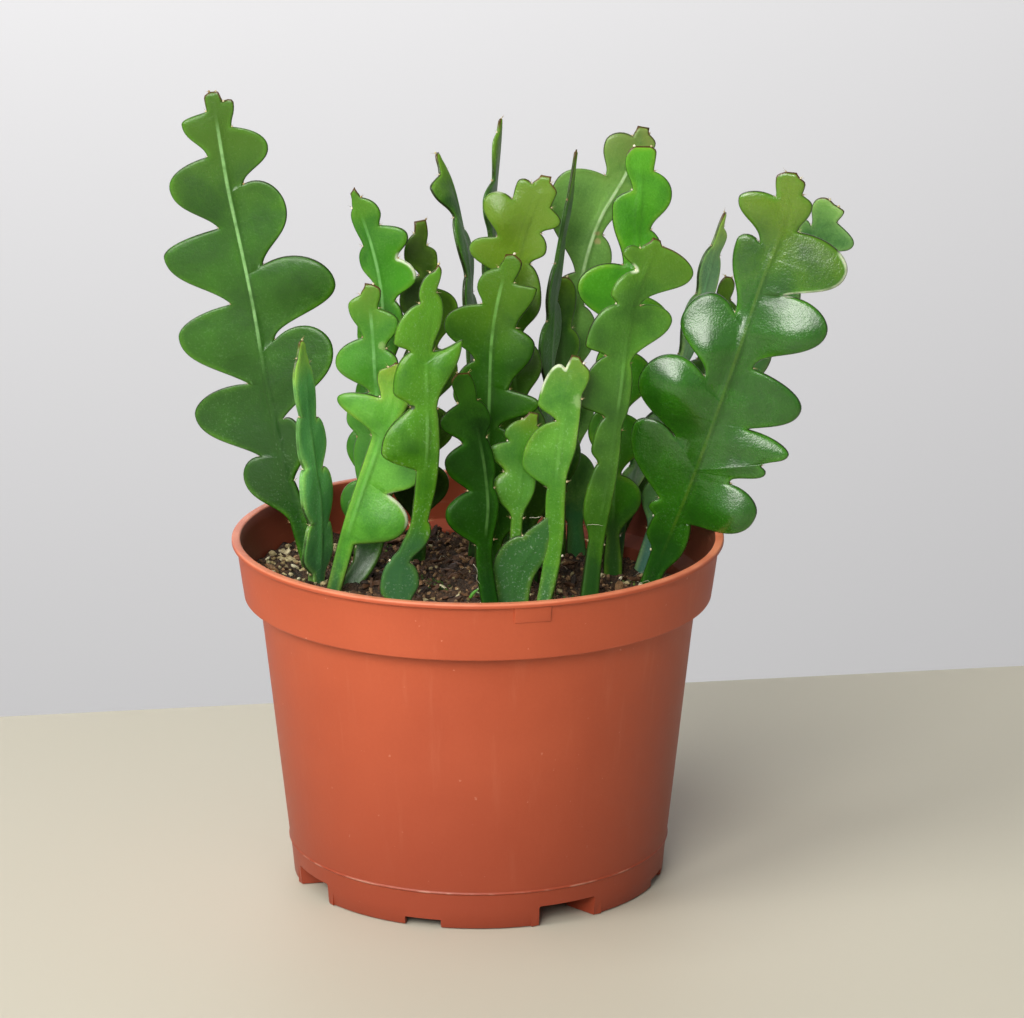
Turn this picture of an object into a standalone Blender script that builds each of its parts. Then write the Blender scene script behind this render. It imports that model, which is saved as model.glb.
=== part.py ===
"""Potted fishbone cactus: flat zigzag stems in potting mix in a round plastic nursery pot.

Units are metres with +Z up. The driving dimensions below are millimetres from the centre of
the pot's base, and every object hangs from one empty that puts the whole plant's middle at
the origin. The front of the pot faces -Y.
"""

import math

import bmesh
import bpy
from mathutils import Matrix, Vector

MM = 0.001
GAP = 0.3                        # clearance between pieces that touch
POT_AXIS_X = -10.5               # the pot stands off centre, because the stems lean to the right

# Pot
LIP_RADIUS = 82.5
LIP_TOP = 117.5
LIP_DROP = 2.6                   # height of the rolled lip
LIP_INNER_RADIUS = 79.6
BAND_TOP_RADIUS = 81.0
BAND_BOTTOM_RADIUS = 78.5
BAND_BOTTOM = 97.3
BODY_TOP_RADIUS = 73.4
FOOT_RADIUS = 62.9
WALL = 1.6
SHOULDER_TOP = 101.5             # inside, the wall slopes from the band in to the body
SHOULDER_BOTTOM = 98.0
PARTING_LINE = 12.6              # ridge left by the mould, above the table
RIDGE = 0.35
FOOT_WALL = 2.0
FLOOR_BOTTOM = 7.2
FLOOR_TOP = 9.2
POT_STEPS = 56
NOTCH_TURN = 27.9                # degrees from the front to the first wide notch, to the right
WIDE_NOTCH = (21.5, 6.8)         # width and height
NARROW_NOTCH = (12.5, 2.8)
CHANNEL_INNER_WIDTH = 13.5
CHANNEL_LENGTH = 13.0
CHANNEL_WALL = 2.4
DRAIN_RADIUS = 4.5
DRAIN_CIRCLE = 51.0
TAB = (12.0, 4.4, 0.5)           # width, height and relief of the small tab under the lip
TAB_TURN = 12.5
TAB_RISE = 0.3                   # the tab's upper edge runs this far up into the lip
TAB_ROOT = 0.3                   # and its back this far into the band

# Potting mix
SOIL_LEVEL = 96.6
SOIL_TILT = 0.05                 # it lies higher at the left
SOIL_BUMP = 1.1
SOIL_STEPS = 44
SOIL_GAP = 0.45                  # clearance to the pot's wall
LUMP_CELLS = 17                  # cells across the lumpy surface
LID_HALF = 84.0                  # half width and top of the block that cuts that surface
LID_TOP = 125.0
HOLE_SIDES = 12
HOLE_EASE = 1.16                 # a stem's hole is this much wider than its stalk
HOLE_ABOVE = 22.0                # the hole's cutter reaches this far above the soil

# Stems
SUNK = 19.0                      # length of stem below the potting mix
STALK_HALF = 3.4
RIB_THICKNESS = 4.4
TIP_THICKNESS = 1.5
TIP_TAPER = 45.0                 # the rib thins over this length below the tip
MARGIN_THICKNESS = 1.3
STALK_MARGIN_THICKNESS = 2.6
FULLNESS = 0.1                   # a lobe's underside: 0 runs in an S, 0.55 is a quarter round
SHOULDER = -1.0                  # the top of a lobe's bend, against the notch above it
WAVE = 1.5
CUP = 1.0
ROWS_PER_STROKE = 2.8
LEVEL_STEP = 0.4                 # least distance along the rib between two rows
SLOPE_LIMIT = 0.01


def lobes(first, last, count, notch, reach):
    """Marks of a regular run of lobes, from the notch at first to the notch at last."""
    step = (last - first) / count
    marks = []
    for index in range(count):
        marks.append((first + step * index, notch))
        marks.append((first + step * (index + 0.6), reach))
    marks.append((last, notch))
    return marks


# Each blade is drawn along its rib: rib is the rib's line from the soil to the tip, and face is
# the way the flat side looks, in degrees from the front towards the right, at even steps along
# the rib. left and right are the two margins as (distance along the rib, distance out from it),
# a notch and a lobe's tip in turn, from the top of the stalk up. A third number is the fullness
# of a lobe's underside, or how far the lobe's shoulder stands above the notch over it.
BLADES = {
    "stem_far_left": {
        "rib": [(-55.3, 11, 98), (-63, 14, 128), (-70, 16, 162), (-76, 16, 200), (-83, 15, 236),
                (-87, 14, 264)],
        "face": (-14, -10, -6),
        "left": [(21, 3), (38.5, 15), (45, 7.5, 1), (61.5, 27.3, 0.35), (70, 6.5, 1),
                 (88.5, 26.8, 0.4), (98, 7.5), (117.5, 27, 0.3), (124.5, 6.3), (140, 19.5, 0.25),
                 (149, 5), (160.5, 12), (164, 3), (168.5, 3.2), (170.5, 1)],
        "right": [(8, 3), (22, 3.2), (35, 2), (48, 9, 0.3), (56.5, 3, 2), (79, 24.6, 0.35),
                  (84, 5, 8), (101.5, 29.3, 0.05), (110, 5.8, 5), (128, 18, 0.2), (138, 5, 3),
                  (150, 15.5), (158, 4.5), (166.3, 6.5), (167, 3, 1), (169.5, 2.2),
                  (170.5, 1)],
        "stalk_half": 3.0,
    },
    "stem_left_edge": {
        "rib": [(-54.4, -1.2, 100), (-53.3, -4, 120), (-56, -12, 155), (-58, -20, 189)],
        "face": (58, 62, 54),
        "left": [(5, 4), (14, 10, 0.4), (25, 6.5, 1), (35, 10, 0.4), (46, 5.5, 1),
                 (55, 7.2, 0.4), (65, 4.5, 1), (77, 6.8, 0.4), (86, 3), (91, 1)],
        "right": [(4, 4), (12, 8.5, 0.4), (21, 6, 1), (31, 10, 0.4), (41, 5, 1),
                  (50, 9.5, 0.4), (60, 5, 1), (71, 6, 0.4), (81, 4), (88, 2.5), (91, 1)],
    },
    "stem_front_left": {
        "rib": [(-48, -10, 101), (-44, -12, 117), (-38, -14, 137), (-32, -15, 155),
                (-26, -17, 180)],
        "face": (-14, -8, -4),
        "left": [(56, 3), (66, 17.2), (70, 3.5, 1), (78, 6), (81, 3), (83, 1.2)],
        "right": [(18, 3), (31, 18, 0.55), (39, 8.5), (48, 16.5, 0.4), (61, 4), (73, 6.5),
                  (80, 2), (83, 1.2)],
        "stalk_half": 2.6,
    },
    "stem_front_bright": {
        "rib": [(-26, -24, 100), (-25, -26, 115), (-20, -30, 128), (-17, -34, 152),
                (-16.5, -36, 196), (-13.5, -37, 218.5)],
        "face": (4, 8, 12),
        "left": [(1, 4), (5, 6.5), (15, 4), (20, 2.5), (30, 2.5), (41, 3), (51, 3),
                 (58, 15, 0.6), (73, 5, -4), (79, 10.8), (91.5, 5.2), (94.5, 10.7),
                 (107.5, 3.3), (111, 4.2), (118, 1.2)],
        "right": [(1, 4), (8, 6.5), (16, 2.5), (28, 5), (33, 3), (52, 4.5), (72, 3.5),
                  (95.5, 12), (91.5, 2.5), (104, 5), (111.5, 1.9), (118, 2.6), (121, 1)],
    },
    "stem_left_middle": {
        "rib": [(-44, -1, 99), (-37, 2, 108), (-33, 4, 121), (-33, 6, 145), (-34, 5, 175),
                (-36, 3, 202)],
        "face": (-18, -14, -10),
        "left": [(8, 4), (30, 11.5, 0.3), (33.5, 7.6), (48, 8.8), (54, 7.3), (60, 11, 0.2),
                 (70, 2.5), (80, 13.5, 0.25), (89, 3.5), (100, 7.5), (104, 3), (108, 1.2)],
        "right": [(33, 3.5), (42, 8), (53, 3.5), (63, 8.5), (72, 3.5), (80, 8), (85, 4),
                  (94, 9), (99, 2.5), (105, 4), (107.5, 1.5)],
        "sunk": 9.0,
    },
    "stem_left_back": {
        "rib": [(-39, 20, 102), (-38, 21, 123), (-31, 23, 183), (-33, 22, 203), (-42, 19, 232)],
        "face": (-12, -20, -18),
        "left": lobes(9, 66, 3, 3, 9) + [(78, 10.5), (96, 2.5), (105, 6), (111, 3.2),
                                         (120, 4.2), (125, 2.3), (130, 1.2)],
        "right": lobes(9, 68, 3, 3, 9) + [(85, 7), (91, 4.5), (99, 13), (105, 7.5),
                                          (112, 13.2), (117, 4.8), (122, 6.8), (128, 2),
                                          (132, 1.2)],
    },
    "stem_left_olive": {
        "rib": [(-21, 34, 104), (-19, 34, 132), (-16, 35, 176), (-19, 33, 216)],
        "face": (12, 16, 12),
        "left": lobes(8, 95, 4, 2.5, 10) + [(102, 7), (110, 2.6), (114, 2.2)],
        "right": lobes(9, 69, 3, 2.5, 10) + [(82, 10), (90, 2), (101, 4.4), (105, 1.2),
                                             (110, 2.2), (114, 2)],
    },
    "stem_back_left_thin": {
        "rib": [(-1, 44, 100), (-1, 44, 150), (-2.5, 44, 186), (-4.2, 44, 204), (-8.1, 45, 221),
                (-13.7, 47, 238.5)],
        "face": (70, 74, 70, 58),
        "left": lobes(14, 117, 5, 2.5, 6) + [(129, 11), (132.3, 2.6), (136, 1.8), (139.5, 0.8)],
        "right": lobes(22, 112, 4, 2.5, 6) + [(125, 3), (133, 2), (139.5, 0.8)],
    },
    "stem_centre_tall": {
        "rib": [(7, 4, 96), (4, 4, 121), (4, 4, 160), (6, 3, 192), (11, 3, 213)],
        "face": (-10, -8, -12),
        "left": lobes(17, 58, 2, 3, 9) + [(68, 12.5), (80, 5.5), (91, 16.5), (99, 5), (105, 8),
                                          (112, 2.5), (117, 1.5)],
        "right": lobes(16, 58, 2, 3.5, 11) + [(67, 17), (71, 6.5), (87, 14.5), (93, 7.5),
                                              (108.5, 11.8), (108.5, 3.8), (115, 4.8),
                                              (118, 1.2)],
    },
    "stem_centre_yellow": {
        "rib": [(17, 17, 103), (14, 18, 150), (12, 18, 187), (14, 17, 211), (23, 15, 236)],
        "face": (-12, -12, -8),
        "left": lobes(11, 79, 3, 2.5, 9) + [(89, 8.5), (98, 3.5), (106, 16.5, 0.3),
                                            (111, 8, -1), (120.5, 16), (124, 7.5, 2),
                                            (129.5, 8.2), (131, 3.5, 1.5), (135, 2)],
        "right": lobes(10, 78, 3, 3, 9.5) + [(91, 9.5), (104, 4.5), (110, 9), (116, 5.5),
                                             (122, 10.5), (126, 5.5), (131, 5.5), (134, 2),
                                             (136, 1.5)],
    },
    "stem_back_centre_thin": {
        "rib": [(10, 38, 105), (8, 38, 150), (5, 36, 200), (5.4, 36, 225), (6.7, 35, 240),
                (7.8, 34, 252.4)],
        "face": (74, 72, 66),
        "left": lobes(14, 106, 4, 3, 9) + [(121, 12), (126.5, 3), (139, 5), (143, 1.6),
                                           (147.5, 0.8)],
        "right": lobes(24, 120, 4, 2.5, 6) + [(132, 2), (147.5, 0.8)],
    },
    "stem_back_right_thin": {
        "rib": [(24, 28, 100), (24, 28, 146), (25, 29, 184.7), (27.2, 29, 204.7),
                (29.8, 29, 219.7), (33.2, 30, 242.4)],
        "face": (62, 64, 72),
        "left": lobes(14, 84, 3, 3, 8) + [(94, 6), (104, 2.5), (118, 3), (126, 2), (143, 0.8)],
        "right": lobes(24, 90, 3, 3, 7) + [(100, 5), (112, 2.5), (122, 3.2), (132, 1.6),
                                           (143, 0.8)],
    },
    "stem_back_short": {
        "rib": [(27, 41.5, 100), (28, 42, 140), (29.3, 42, 178), (29.3, 42, 196)],
        "face": (20, 16, 10),
        "left": lobes(12, 60, 2, 3, 8) + [(74, 8), (82, 3), (91, 4.5), (96, 1.2)],
        "right": lobes(20, 64, 2, 3, 8) + [(72, 6), (78, 3), (89, 4.5), (96, 1.2)],
    },
    "stem_back_dark": {
        "rib": [(34, 52, 98), (32, 53, 130), (31.5, 54, 168), (34.5, 54, 188.6),
                (41.8, 53, 214), (50.6, 52, 230), (56.5, 51, 246.2)],
        "face": (12, 10, 6),
        "left": lobes(8, 97, 4, 2.5, 9) + [(122, 20, 0.2), (131.5, 6, 0.5), (144, 11),
                                           (148.5, 2.5, 1.5), (152.5, 2)],
        "right": lobes(7, 112, 4, 3, 9) + [(132, 7), (140, 2.5), (147.5, 6), (151, 2.5),
                                            (153, 2)],
    },
    "stem_right_bright": {
        "rib": [(46, 26, 100), (46, 26, 122), (53, 25, 206), (55, 24, 245)],
        "face": (10, 8, 4),
        "left": lobes(9, 79, 3, 2.5, 10) + [(96, 19), (104, 4, 2), (124, 9), (130, 2.5),
                                            (140, 5.5), (145, 2.5)],
        "right": lobes(9, 74, 3, 2.5, 10) + [(85, 13.5), (94, 3), (105, 9.5), (116.5, 4.5),
                                             (128.5, 11), (136.5, 4.5), (143, 5), (145, 3)],
    },
    "stem_right_front": {
        "rib": [(37, -8, 96), (39, -8, 115), (43.3, -8, 141.6), (47.1, -8, 169),
                (50.5, -7, 195), (54, -6.5, 207), (59, -5, 219)],
        "face": (16, 12, 8),
        "left": [(21, 2.5), (34, 6.5), (48, 4), (53, 7), (64, 4), (68, 13.5), (85, 6),
                 (88, 13.5), (102, 5.5), (105, 8.5), (114, 2.5), (118, 9), (121, 4, 1),
                 (126, 1.5)],
        "right": [(20, 3), (42, 3.5), (60, 2.5), (70, 4), (83, 2.5), (99.5, 14.6, 0.1),
                  (103, 2.5, 3), (119, 16), (124.5, 2.5, 1), (126, 1.2)],
    },
    "stem_front_centre": {
        "rib": [(22, -16, 98), (25, -16, 115), (26, -17, 140), (29, -18, 165), (32, -18, 182)],
        "face": (-18, -14, -10),
        "left": [(29, 3.5), (34, 3.5), (40, 3), (47.5, 12.3, 0.5), (63, 2.5), (68, 9.5),
                 (81, 2.5, 4), (86, 1.5)],
        "right": [(17, 3), (30, 3.5), (43, 3.5), (58, 5.5), (72, 4.5), (80, 6), (84, 3),
                  (86, 1.5)],
        "stalk_half": 2.6,
    },
    "stem_front_pale": {
        "rib": [(4, -21, 99), (2, -19, 114), (3, -17, 134), (1, -16, 151), (-5, -17, 177)],
        "face": (12, 14, 16),
        "left": [(20, 3), (30, 14, 0.5), (39, 6), (50, 13, 0.4), (56, 6), (65, 12), (70, 4),
                 (77, 4.5), (80, 1.5)],
        "right": [(22, 3), (33, 4), (39, 2.5), (47, 4), (56, 2.5), (62, 5.5), (69, 2.5),
                  (74, 3), (79, 2)],
        "stalk_half": 3.0,
    },
    "stem_right_glossy": {
        "rib": [(58.6, 14, 96), (68.6, 6, 125), (76.6, 2, 149), (87, 1, 181), (93.7, 1, 202.6),
                (100.3, 1, 221.7), (103.4, 0, 240.2)],
        "face": (-10, -8, -8),
        "left": [(12, 4), (19, 8), (25, 7.5), (28, 10.5), (32, 8), (53.5, 25, 0.5), (55, 10.5, 6),
                 (71.5, 28.4, 0.45), (79, 8, 9), (95, 21.5, 0), (102, 5.2, 9), (125, 12.8, 0),
                 (127, 5.5, 3), (141.5, 16, 0.1), (144, 4, 2.5), (150.5, 5), (153, 2)],
        "right": [(5, 3.2), (18, 6.6), (27, 5), (40.2, 24.4, 0.8), (46.7, 12.3, 1),
                  (54.4, 22.3, -0.2), (56.3, 19.8, -0.5), (62.8, 27.3, 0.1), (66, 11.5, 1),
                  (77.5, 26.2, 0.5), (86, 6.5, 0), (105.5, 26, 0), (113, 8.5, 3),
                  (127, 25.3, 0.4), (134, 5.5, 1), (142.5, 8.5), (146, 4.5), (149.5, 5),
                  (151.5, 3), (153.2, 1.5)],
    },
    "stem_right_behind": {
        "rib": [(57, 33, 95), (62, 33.5, 112), (68, 34, 127), (86.6, 36, 161), (103.2, 36, 189),
                (115.9, 35, 213.6), (121.2, 33, 225)],
        "face": (-14, -12, -8),
        "left": lobes(14, 74, 3, 3, 9) + [(90, 8), (100, 3), (112, 6), (121, 3), (132.5, 7.5),
                                          (132.7, 3.6, 2), (140.5, 6.5), (144, 2, 0.5)],
        "right": lobes(44, 92, 2, 3, 8) + [(104, 6), (112, 3), (120, 4), (126, 3.5),
                                           (133.5, 12.2, 0.25), (138, 3.7), (142, 4.3),
                                           (143.2, 1.5)],
    },
    "stem_right_thin": {
        "rib": [(47, 37, 97), (54, 41, 130), (65, 42, 155), (75, 42, 187), (79, 43, 201),
                (84, 45, 217)],
        "face": (50, 56, 60, 56),
        "left": lobes(12, 98, 4, 3, 8) + [(108, 6), (115, 2.5), (120, 2), (127, 0.8)],
        "right": lobes(20, 88, 3, 3, 8) + [(100, 8), (112, 4.5), (118, 6), (122, 1.5),
                                           (127, 0.8)],
    },
    "stem_right_dark": {
        "rib": [(44, 47, 96), (60, 52.5, 128), (77, 54, 160), (86, 54, 193)],
        "face": (20, 16, 10),
        "left": lobes(28, 76, 2, 3, 8) + [(88, 6), (96, 2.5), (102, 3), (107, 1.2)],
        "right": lobes(26, 80, 3, 3, 8) + [(93, 7), (99, 2.5), (103, 3), (107, 1.2)],
    },
}

# Growth that shares a root or a joint with the front centre stem, and is one piece with it.
OLD_PAD = {
    "rib": [(11, -14, 97), (13, -14, 108), (19, -15, 118), (27, -16.5, 129)],
    "face": (-4, 0),
    "left": [(2, 5), (14, 8.8), (23, 5), (36, 2.5)],
    "right": [(4, 6), (19, 6), (26, 4), (34, 2.5)],
    "stalk_half": 6.0,
}
PAD_SHOOT = {
    "rib": [(12, -14, 114), (13, -13, 127), (15, -10, 147), (18, -9, 160)],
    "face": (0, 4, 6),
    "left": [(11, 2), (21, 9), (26, 5.5), (32, 11.5), (36, 6), (38, 8), (44, 3), (47, 1.5)],
    "right": [(11, 2), (23, 5.5), (32, 2.5), (40, 5), (43, 2.5), (47, 2)],
    "stalk_half": 2.2,
    "sunk": 4.0,
}

STEM_COLOURS = {
    "stem_far_left": (0.055, 0.22, 0.03),
    "stem_front_bright": (0.09, 0.31, 0.03),
    "stem_centre_yellow": (0.16, 0.28, 0.03),
    "stem_left_olive": (0.07, 0.16, 0.02),
    "stem_back_dark": (0.06, 0.16, 0.04),
    "stem_left_edge": (0.07, 0.21, 0.07),
}
STEM_COLOUR = (0.06, 0.21, 0.03)


def make_material(name, colour, roughness):
    material = bpy.data.materials.new(name)
    material.use_nodes = True
    shader = material.node_tree.nodes["Principled BSDF"]
    shader.inputs["Base Color"].default_value = (*colour, 1.0)
    shader.inputs["Roughness"].default_value = roughness
    shader.inputs["Metallic"].default_value = 0.0
    material.diffuse_color = (*colour, 1.0)
    return material


def make_object(name, mesh, collection, parent, material=None):
    thing = bpy.data.objects.new(name, mesh)
    collection.objects.link(thing)
    thing.parent = parent
    if material:
        mesh.materials.append(material)
    return thing


def mesh_from(bm, name):
    mesh = bpy.data.meshes.new(name)
    bm.to_mesh(mesh)
    bm.free()
    return mesh


def hide_cutter(thing):
    thing.hide_render = True
    thing.display_type = "WIRE"


def add_boolean(thing, operation, cutters):
    modifier = thing.modifiers.new(operation.title(), "BOOLEAN")
    modifier.operation = operation
    modifier.operand_type = "COLLECTION"
    modifier.collection = cutters


# Curves

def rib_curve(knots, samples=160):
    """A smooth curve through the knots, as even samples with their distance along it."""
    points = [Vector(knot) for knot in knots]
    spans = [(b - a).length for a, b in zip(points, points[1:])]
    slopes = [(b - a) / span for a, b, span in zip(points, points[1:], spans)]
    tangents = []
    for index in range(1, len(spans)):
        before, after = spans[index - 1], spans[index]
        tangents.append((slopes[index - 1] * after + slopes[index] * before) / (before + after))
    first = (slopes[0] * 3 - tangents[0]) / 2
    final = (slopes[-1] * 3 - tangents[-1]) / 2
    tangents = [first, *tangents, final]
    curve = [points[0]]
    for index, span in enumerate(spans):
        count = max(4, round(samples * span / sum(spans)))
        for step in range(1, count + 1):
            x = step / count
            curve.append((2 * x**3 - 3 * x**2 + 1) * points[index]
                         + (x**3 - 2 * x**2 + x) * span * tangents[index]
                         + (3 * x**2 - 2 * x**3) * points[index + 1]
                         + (x**3 - x**2) * span * tangents[index + 1])
    lengths = [0.0]
    for a, b in zip(curve, curve[1:]):
        lengths.append(lengths[-1] + (b - a).length)
    return curve, lengths


def along(curve, lengths, distance):
    """The point and direction at a distance along the rib, carried on straight past its ends."""
    last = len(lengths) - 2
    index = next((i for i, length in enumerate(lengths[1:]) if length >= distance), last)
    step = curve[index + 1] - curve[index]
    share = (distance - lengths[index]) / step.length
    before = curve[max(index - 1, 0)]
    after = curve[min(index + 2, last + 1)]
    return curve[index] + step * share, (after - before).normalized()


def face_at(blade, share):
    """Facing angle in radians at a share of the rib's length."""
    faces = blade["face"]
    place = min(max(share, 0.0), 1.0) * (len(faces) - 1)
    index = min(int(place), len(faces) - 2)
    angle = faces[index] + (faces[index + 1] - faces[index]) * (place - index)
    return math.radians(angle)


def blade_frame(blade, curve, lengths, distance):
    """Point on the rib, with the directions along it, across the blade and out of its face."""
    point, up = along(curve, lengths, distance)
    angle = face_at(blade, distance / lengths[-1])
    out = Vector((math.sin(angle), -math.cos(angle), 0.0))
    out = (out - up * out.dot(up)).normalized()
    return point, up, up.cross(out), out


def stroke(start, end, towards_tip, count):
    """One side of a lobe as a cubic curve, from a notch to the lobe's tip or from there in."""
    run, reach = end[0] - start[0], end[1] - start[1]
    if towards_tip:
        fullness = end[2] if len(end) > 2 else FULLNESS
        near = (start[0] + (0.4 - 0.2 * fullness) * run, start[1] + fullness * reach)
        far = (end[0] - 0.5 * run, end[1])
    else:
        shoulder = end[2] if len(end) > 2 else min(0.0, max(SHOULDER, -0.3 * run))
        near = (start[0] + max(0.55 * (run + max(shoulder, 0.0)), 1.2), start[1])
        far = (end[0] + shoulder, end[1] - 0.5 * reach)
    points = []
    for step in range(1, count + 1):
        t = step / count
        points.append(tuple(
            (1 - t)**3 * a + 3 * t * (1 - t)**2 * b + 3 * t**2 * (1 - t) * c + t**3 * d
            for a, b, c, d in zip(start, near, far, end)))
    return points


def shared_out(lengths, total):
    """Split total rows over strokes by length, at least one each and two on longer ones."""
    counts = [2 if length > 4 else 1 for length in lengths]
    while sum(counts) < total:
        worst = max(range(len(lengths)), key=lambda i: lengths[i] / counts[i])
        counts[worst] += 1
    return counts


def margin_points(marks, stalk_half, sunk, rows):
    """One margin from the sunk end up: points (distance, reach), and where the rib is level."""
    stops = [(-sunk, stalk_half), (0.0, stalk_half), *marks]
    sizes = [math.dist(a[:2], b[:2]) for a, b in zip(stops, stops[1:])]
    sizes[0] = 0.1
    counts = shared_out(sizes, rows)
    points = [stops[0]]
    levels = [stops[0][0]]
    for index, (start, end) in enumerate(zip(stops, stops[1:])):
        count = counts[index]
        if index < 2:
            points += [(start[0] + (end[0] - start[0]) * step / count,
                        start[1] + (end[1] - start[1]) * step / count)
                       for step in range(1, count + 1)]
            levels += [point[0] for point in points[-count:]]
        else:
            points += stroke(start, end, index % 2 == 0, count)
    notches = [2 + 2 * i for i in range((len(marks) + 1) // 2)]
    heights = [stops[i][0] for i in notches]
    places = [sum(counts[:i]) for i in notches]
    if len(marks) % 2 == 0:
        heights.append(max(stops[-1][0], heights[-1] + 0.5))
        places.append(rows)
    for a, b, low, high in zip(places, places[1:], heights, heights[1:]):
        levels += [low + (high - low) * step / (b - a) for step in range(1, b - a + 1)]
    return points, levels


def unfolded_levels(levels, margins):
    """Slide the rib's points until no cell between rib and margin folds over.

    A margin that runs outward must be met by the rib beyond the point where the margin's own
    line would cross the rib, and one that runs inward before that point.
    """
    low = [-math.inf] * len(levels)
    high = [math.inf] * len(levels)
    for margin in margins:
        for index, (a, b) in enumerate(zip(margin, margin[1:])):
            if abs(b[1] - a[1]) < SLOPE_LIMIT:
                continue
            crossing = (a[0] * b[1] - b[0] * a[1]) / (b[1] - a[1])
            for end in (index, index + 1):
                if b[1] > a[1]:
                    low[end] = max(low[end], crossing + LEVEL_STEP)
                else:
                    high[end] = min(high[end], crossing - LEVEL_STEP)
    for index in range(len(levels) - 2, -1, -1):
        high[index] = min(high[index], high[index + 1] - LEVEL_STEP)
    for index in range(1, len(levels)):
        low[index] = max(low[index], low[index - 1] + LEVEL_STEP)
    levels = [min(max(level, a), b) for level, a, b in zip(levels, low, high)]
    for index in range(1, len(levels)):
        levels[index] = max(levels[index], levels[index - 1] + LEVEL_STEP)
    return levels


def build_blade(name, blade):
    """A blade's mesh: a grid three points wide, bent to its margins and along its rib."""
    curve, lengths = rib_curve(blade["rib"])
    stalk_half = blade.get("stalk_half", STALK_HALF)
    sunk = blade.get("sunk", SUNK)
    strokes = max(len(blade["left"]), len(blade["right"])) + 1
    rows = round(strokes * ROWS_PER_STROKE)
    left, left_levels = margin_points(blade["left"], stalk_half, sunk, rows)
    right, right_levels = margin_points(blade["right"], stalk_half, sunk, rows)
    levels = [(a + b) / 2 for a, b in zip(left_levels, right_levels)]
    levels = unfolded_levels(levels, (left, right))

    bm = bmesh.new()
    bmesh.ops.create_grid(bm, x_segments=2, y_segments=rows, size=1.0)
    thickness = bm.verts.layers.deform.verify()
    for vert in bm.verts:
        column = round(vert.co.x) + 1
        row = round((vert.co.y + 1) / 2 * rows)
        distance, reach = ((left[row][0], -left[row][1]), (levels[row], 0.0),
                           (right[row][0], right[row][1]))[column]
        point, up, across, out = blade_frame(blade, curve, lengths, distance)
        wave = blade.get("wave", WAVE) * math.sin(distance / 9 + blade["rib"][0][0])
        lift = wave * reach / 20 + blade.get("cup", CUP) * (reach / 20)**2
        lift *= min(max(distance / 20, 0.0), 1.0)
        vert.co = (point + across * reach + out * lift) * MM
        if column == 1:
            share = min((lengths[-1] - distance) / TIP_TAPER, 1.0)
            slim = TIP_THICKNESS / RIB_THICKNESS
            vert[thickness][0] = slim + (1.0 - slim) * max(share, 0.0)
        elif distance < 8:
            vert[thickness][0] = STALK_MARGIN_THICKNESS / RIB_THICKNESS
        else:
            vert[thickness][0] = MARGIN_THICKNESS / RIB_THICKNESS
    bmesh.ops.triangulate(bm, faces=bm.faces, quad_method="BEAUTY")
    return mesh_from(bm, name)


def thicken(thing):
    thing.vertex_groups.new(name="thickness")
    modifier = thing.modifiers.new("Thickness", "SOLIDIFY")
    modifier.thickness = RIB_THICKNESS * MM
    modifier.offset = 0.0
    modifier.vertex_group = "thickness"
    modifier.thickness_vertex_group = 0.0


def build_stem(name, blade, collection, parent):
    material = make_material(name, STEM_COLOURS.get(name, STEM_COLOUR), 0.35)
    stem = make_object(name, build_blade(name, blade), collection, parent, material)
    thicken(stem)
    return stem


def join_branch(stem, blades, collection, cutters, parent):
    """Grow further blades out of a stem: they become one piece with it."""
    branches = bpy.data.collections.new(stem.name + "_branches")
    cutters.children.link(branches)
    for index, blade in enumerate(blades):
        name = f"{stem.name}_branch_{index}"
        branch = make_object(name, build_blade(name, blade), branches, parent)
        thicken(branch)
        hide_cutter(branch)
    add_boolean(stem, "UNION", branches)


# Pot

def pot_profile():
    """The pot's section, from the middle of the floor up the inside and down the outside."""
    lip_bottom = LIP_TOP - LIP_DROP
    slope = (BODY_TOP_RADIUS - FOOT_RADIUS) / BAND_BOTTOM
    body = lambda height: FOOT_RADIUS + slope * height
    return [
        (0.0, FLOOR_TOP),
        (body(FLOOR_TOP) - WALL, FLOOR_TOP),
        (body(SHOULDER_BOTTOM) - WALL, SHOULDER_BOTTOM),
        (BAND_BOTTOM_RADIUS + 0.5 - WALL, SHOULDER_TOP),
        (LIP_INNER_RADIUS - 0.5, LIP_TOP - 1.5),
        (LIP_INNER_RADIUS, LIP_TOP - 0.5),
        (LIP_INNER_RADIUS + 0.8, LIP_TOP),
        (LIP_RADIUS - 0.9, LIP_TOP),
        (LIP_RADIUS, LIP_TOP - 0.9),
        (LIP_RADIUS - 0.1, lip_bottom + 0.4),
        (BAND_TOP_RADIUS, lip_bottom),
        (BAND_BOTTOM_RADIUS, BAND_BOTTOM + 0.5),
        (BAND_BOTTOM_RADIUS - 0.4, BAND_BOTTOM),
        (BODY_TOP_RADIUS, BAND_BOTTOM),
        (body(PARTING_LINE + 0.5), PARTING_LINE + 0.5),
        (body(PARTING_LINE) + RIDGE, PARTING_LINE + 0.2),
        (body(PARTING_LINE) + RIDGE, PARTING_LINE - 0.2),
        (body(PARTING_LINE) - 0.2, PARTING_LINE - 0.6),
        (FOOT_RADIUS, 0.0),
        (FOOT_RADIUS - FOOT_WALL, 0.0),
        (body(FLOOR_BOTTOM) - FOOT_WALL, FLOOR_BOTTOM),
        (0.0, FLOOR_BOTTOM),
    ]


def turned_mesh(name, profile):
    bm = bmesh.new()
    verts = [bm.verts.new((radius * MM, 0.0, height * MM)) for radius, height in profile]
    for a, b in zip(verts, verts[1:]):
        bm.edges.new((a, b))
    return mesh_from(bm, name)


def add_screw(thing, steps):
    modifier = thing.modifiers.new("Turn", "SCREW")
    modifier.axis = "Z"
    modifier.steps = steps
    modifier.render_steps = steps
    modifier.use_merge_vertices = True
    modifier.merge_threshold = 0.00001


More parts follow.
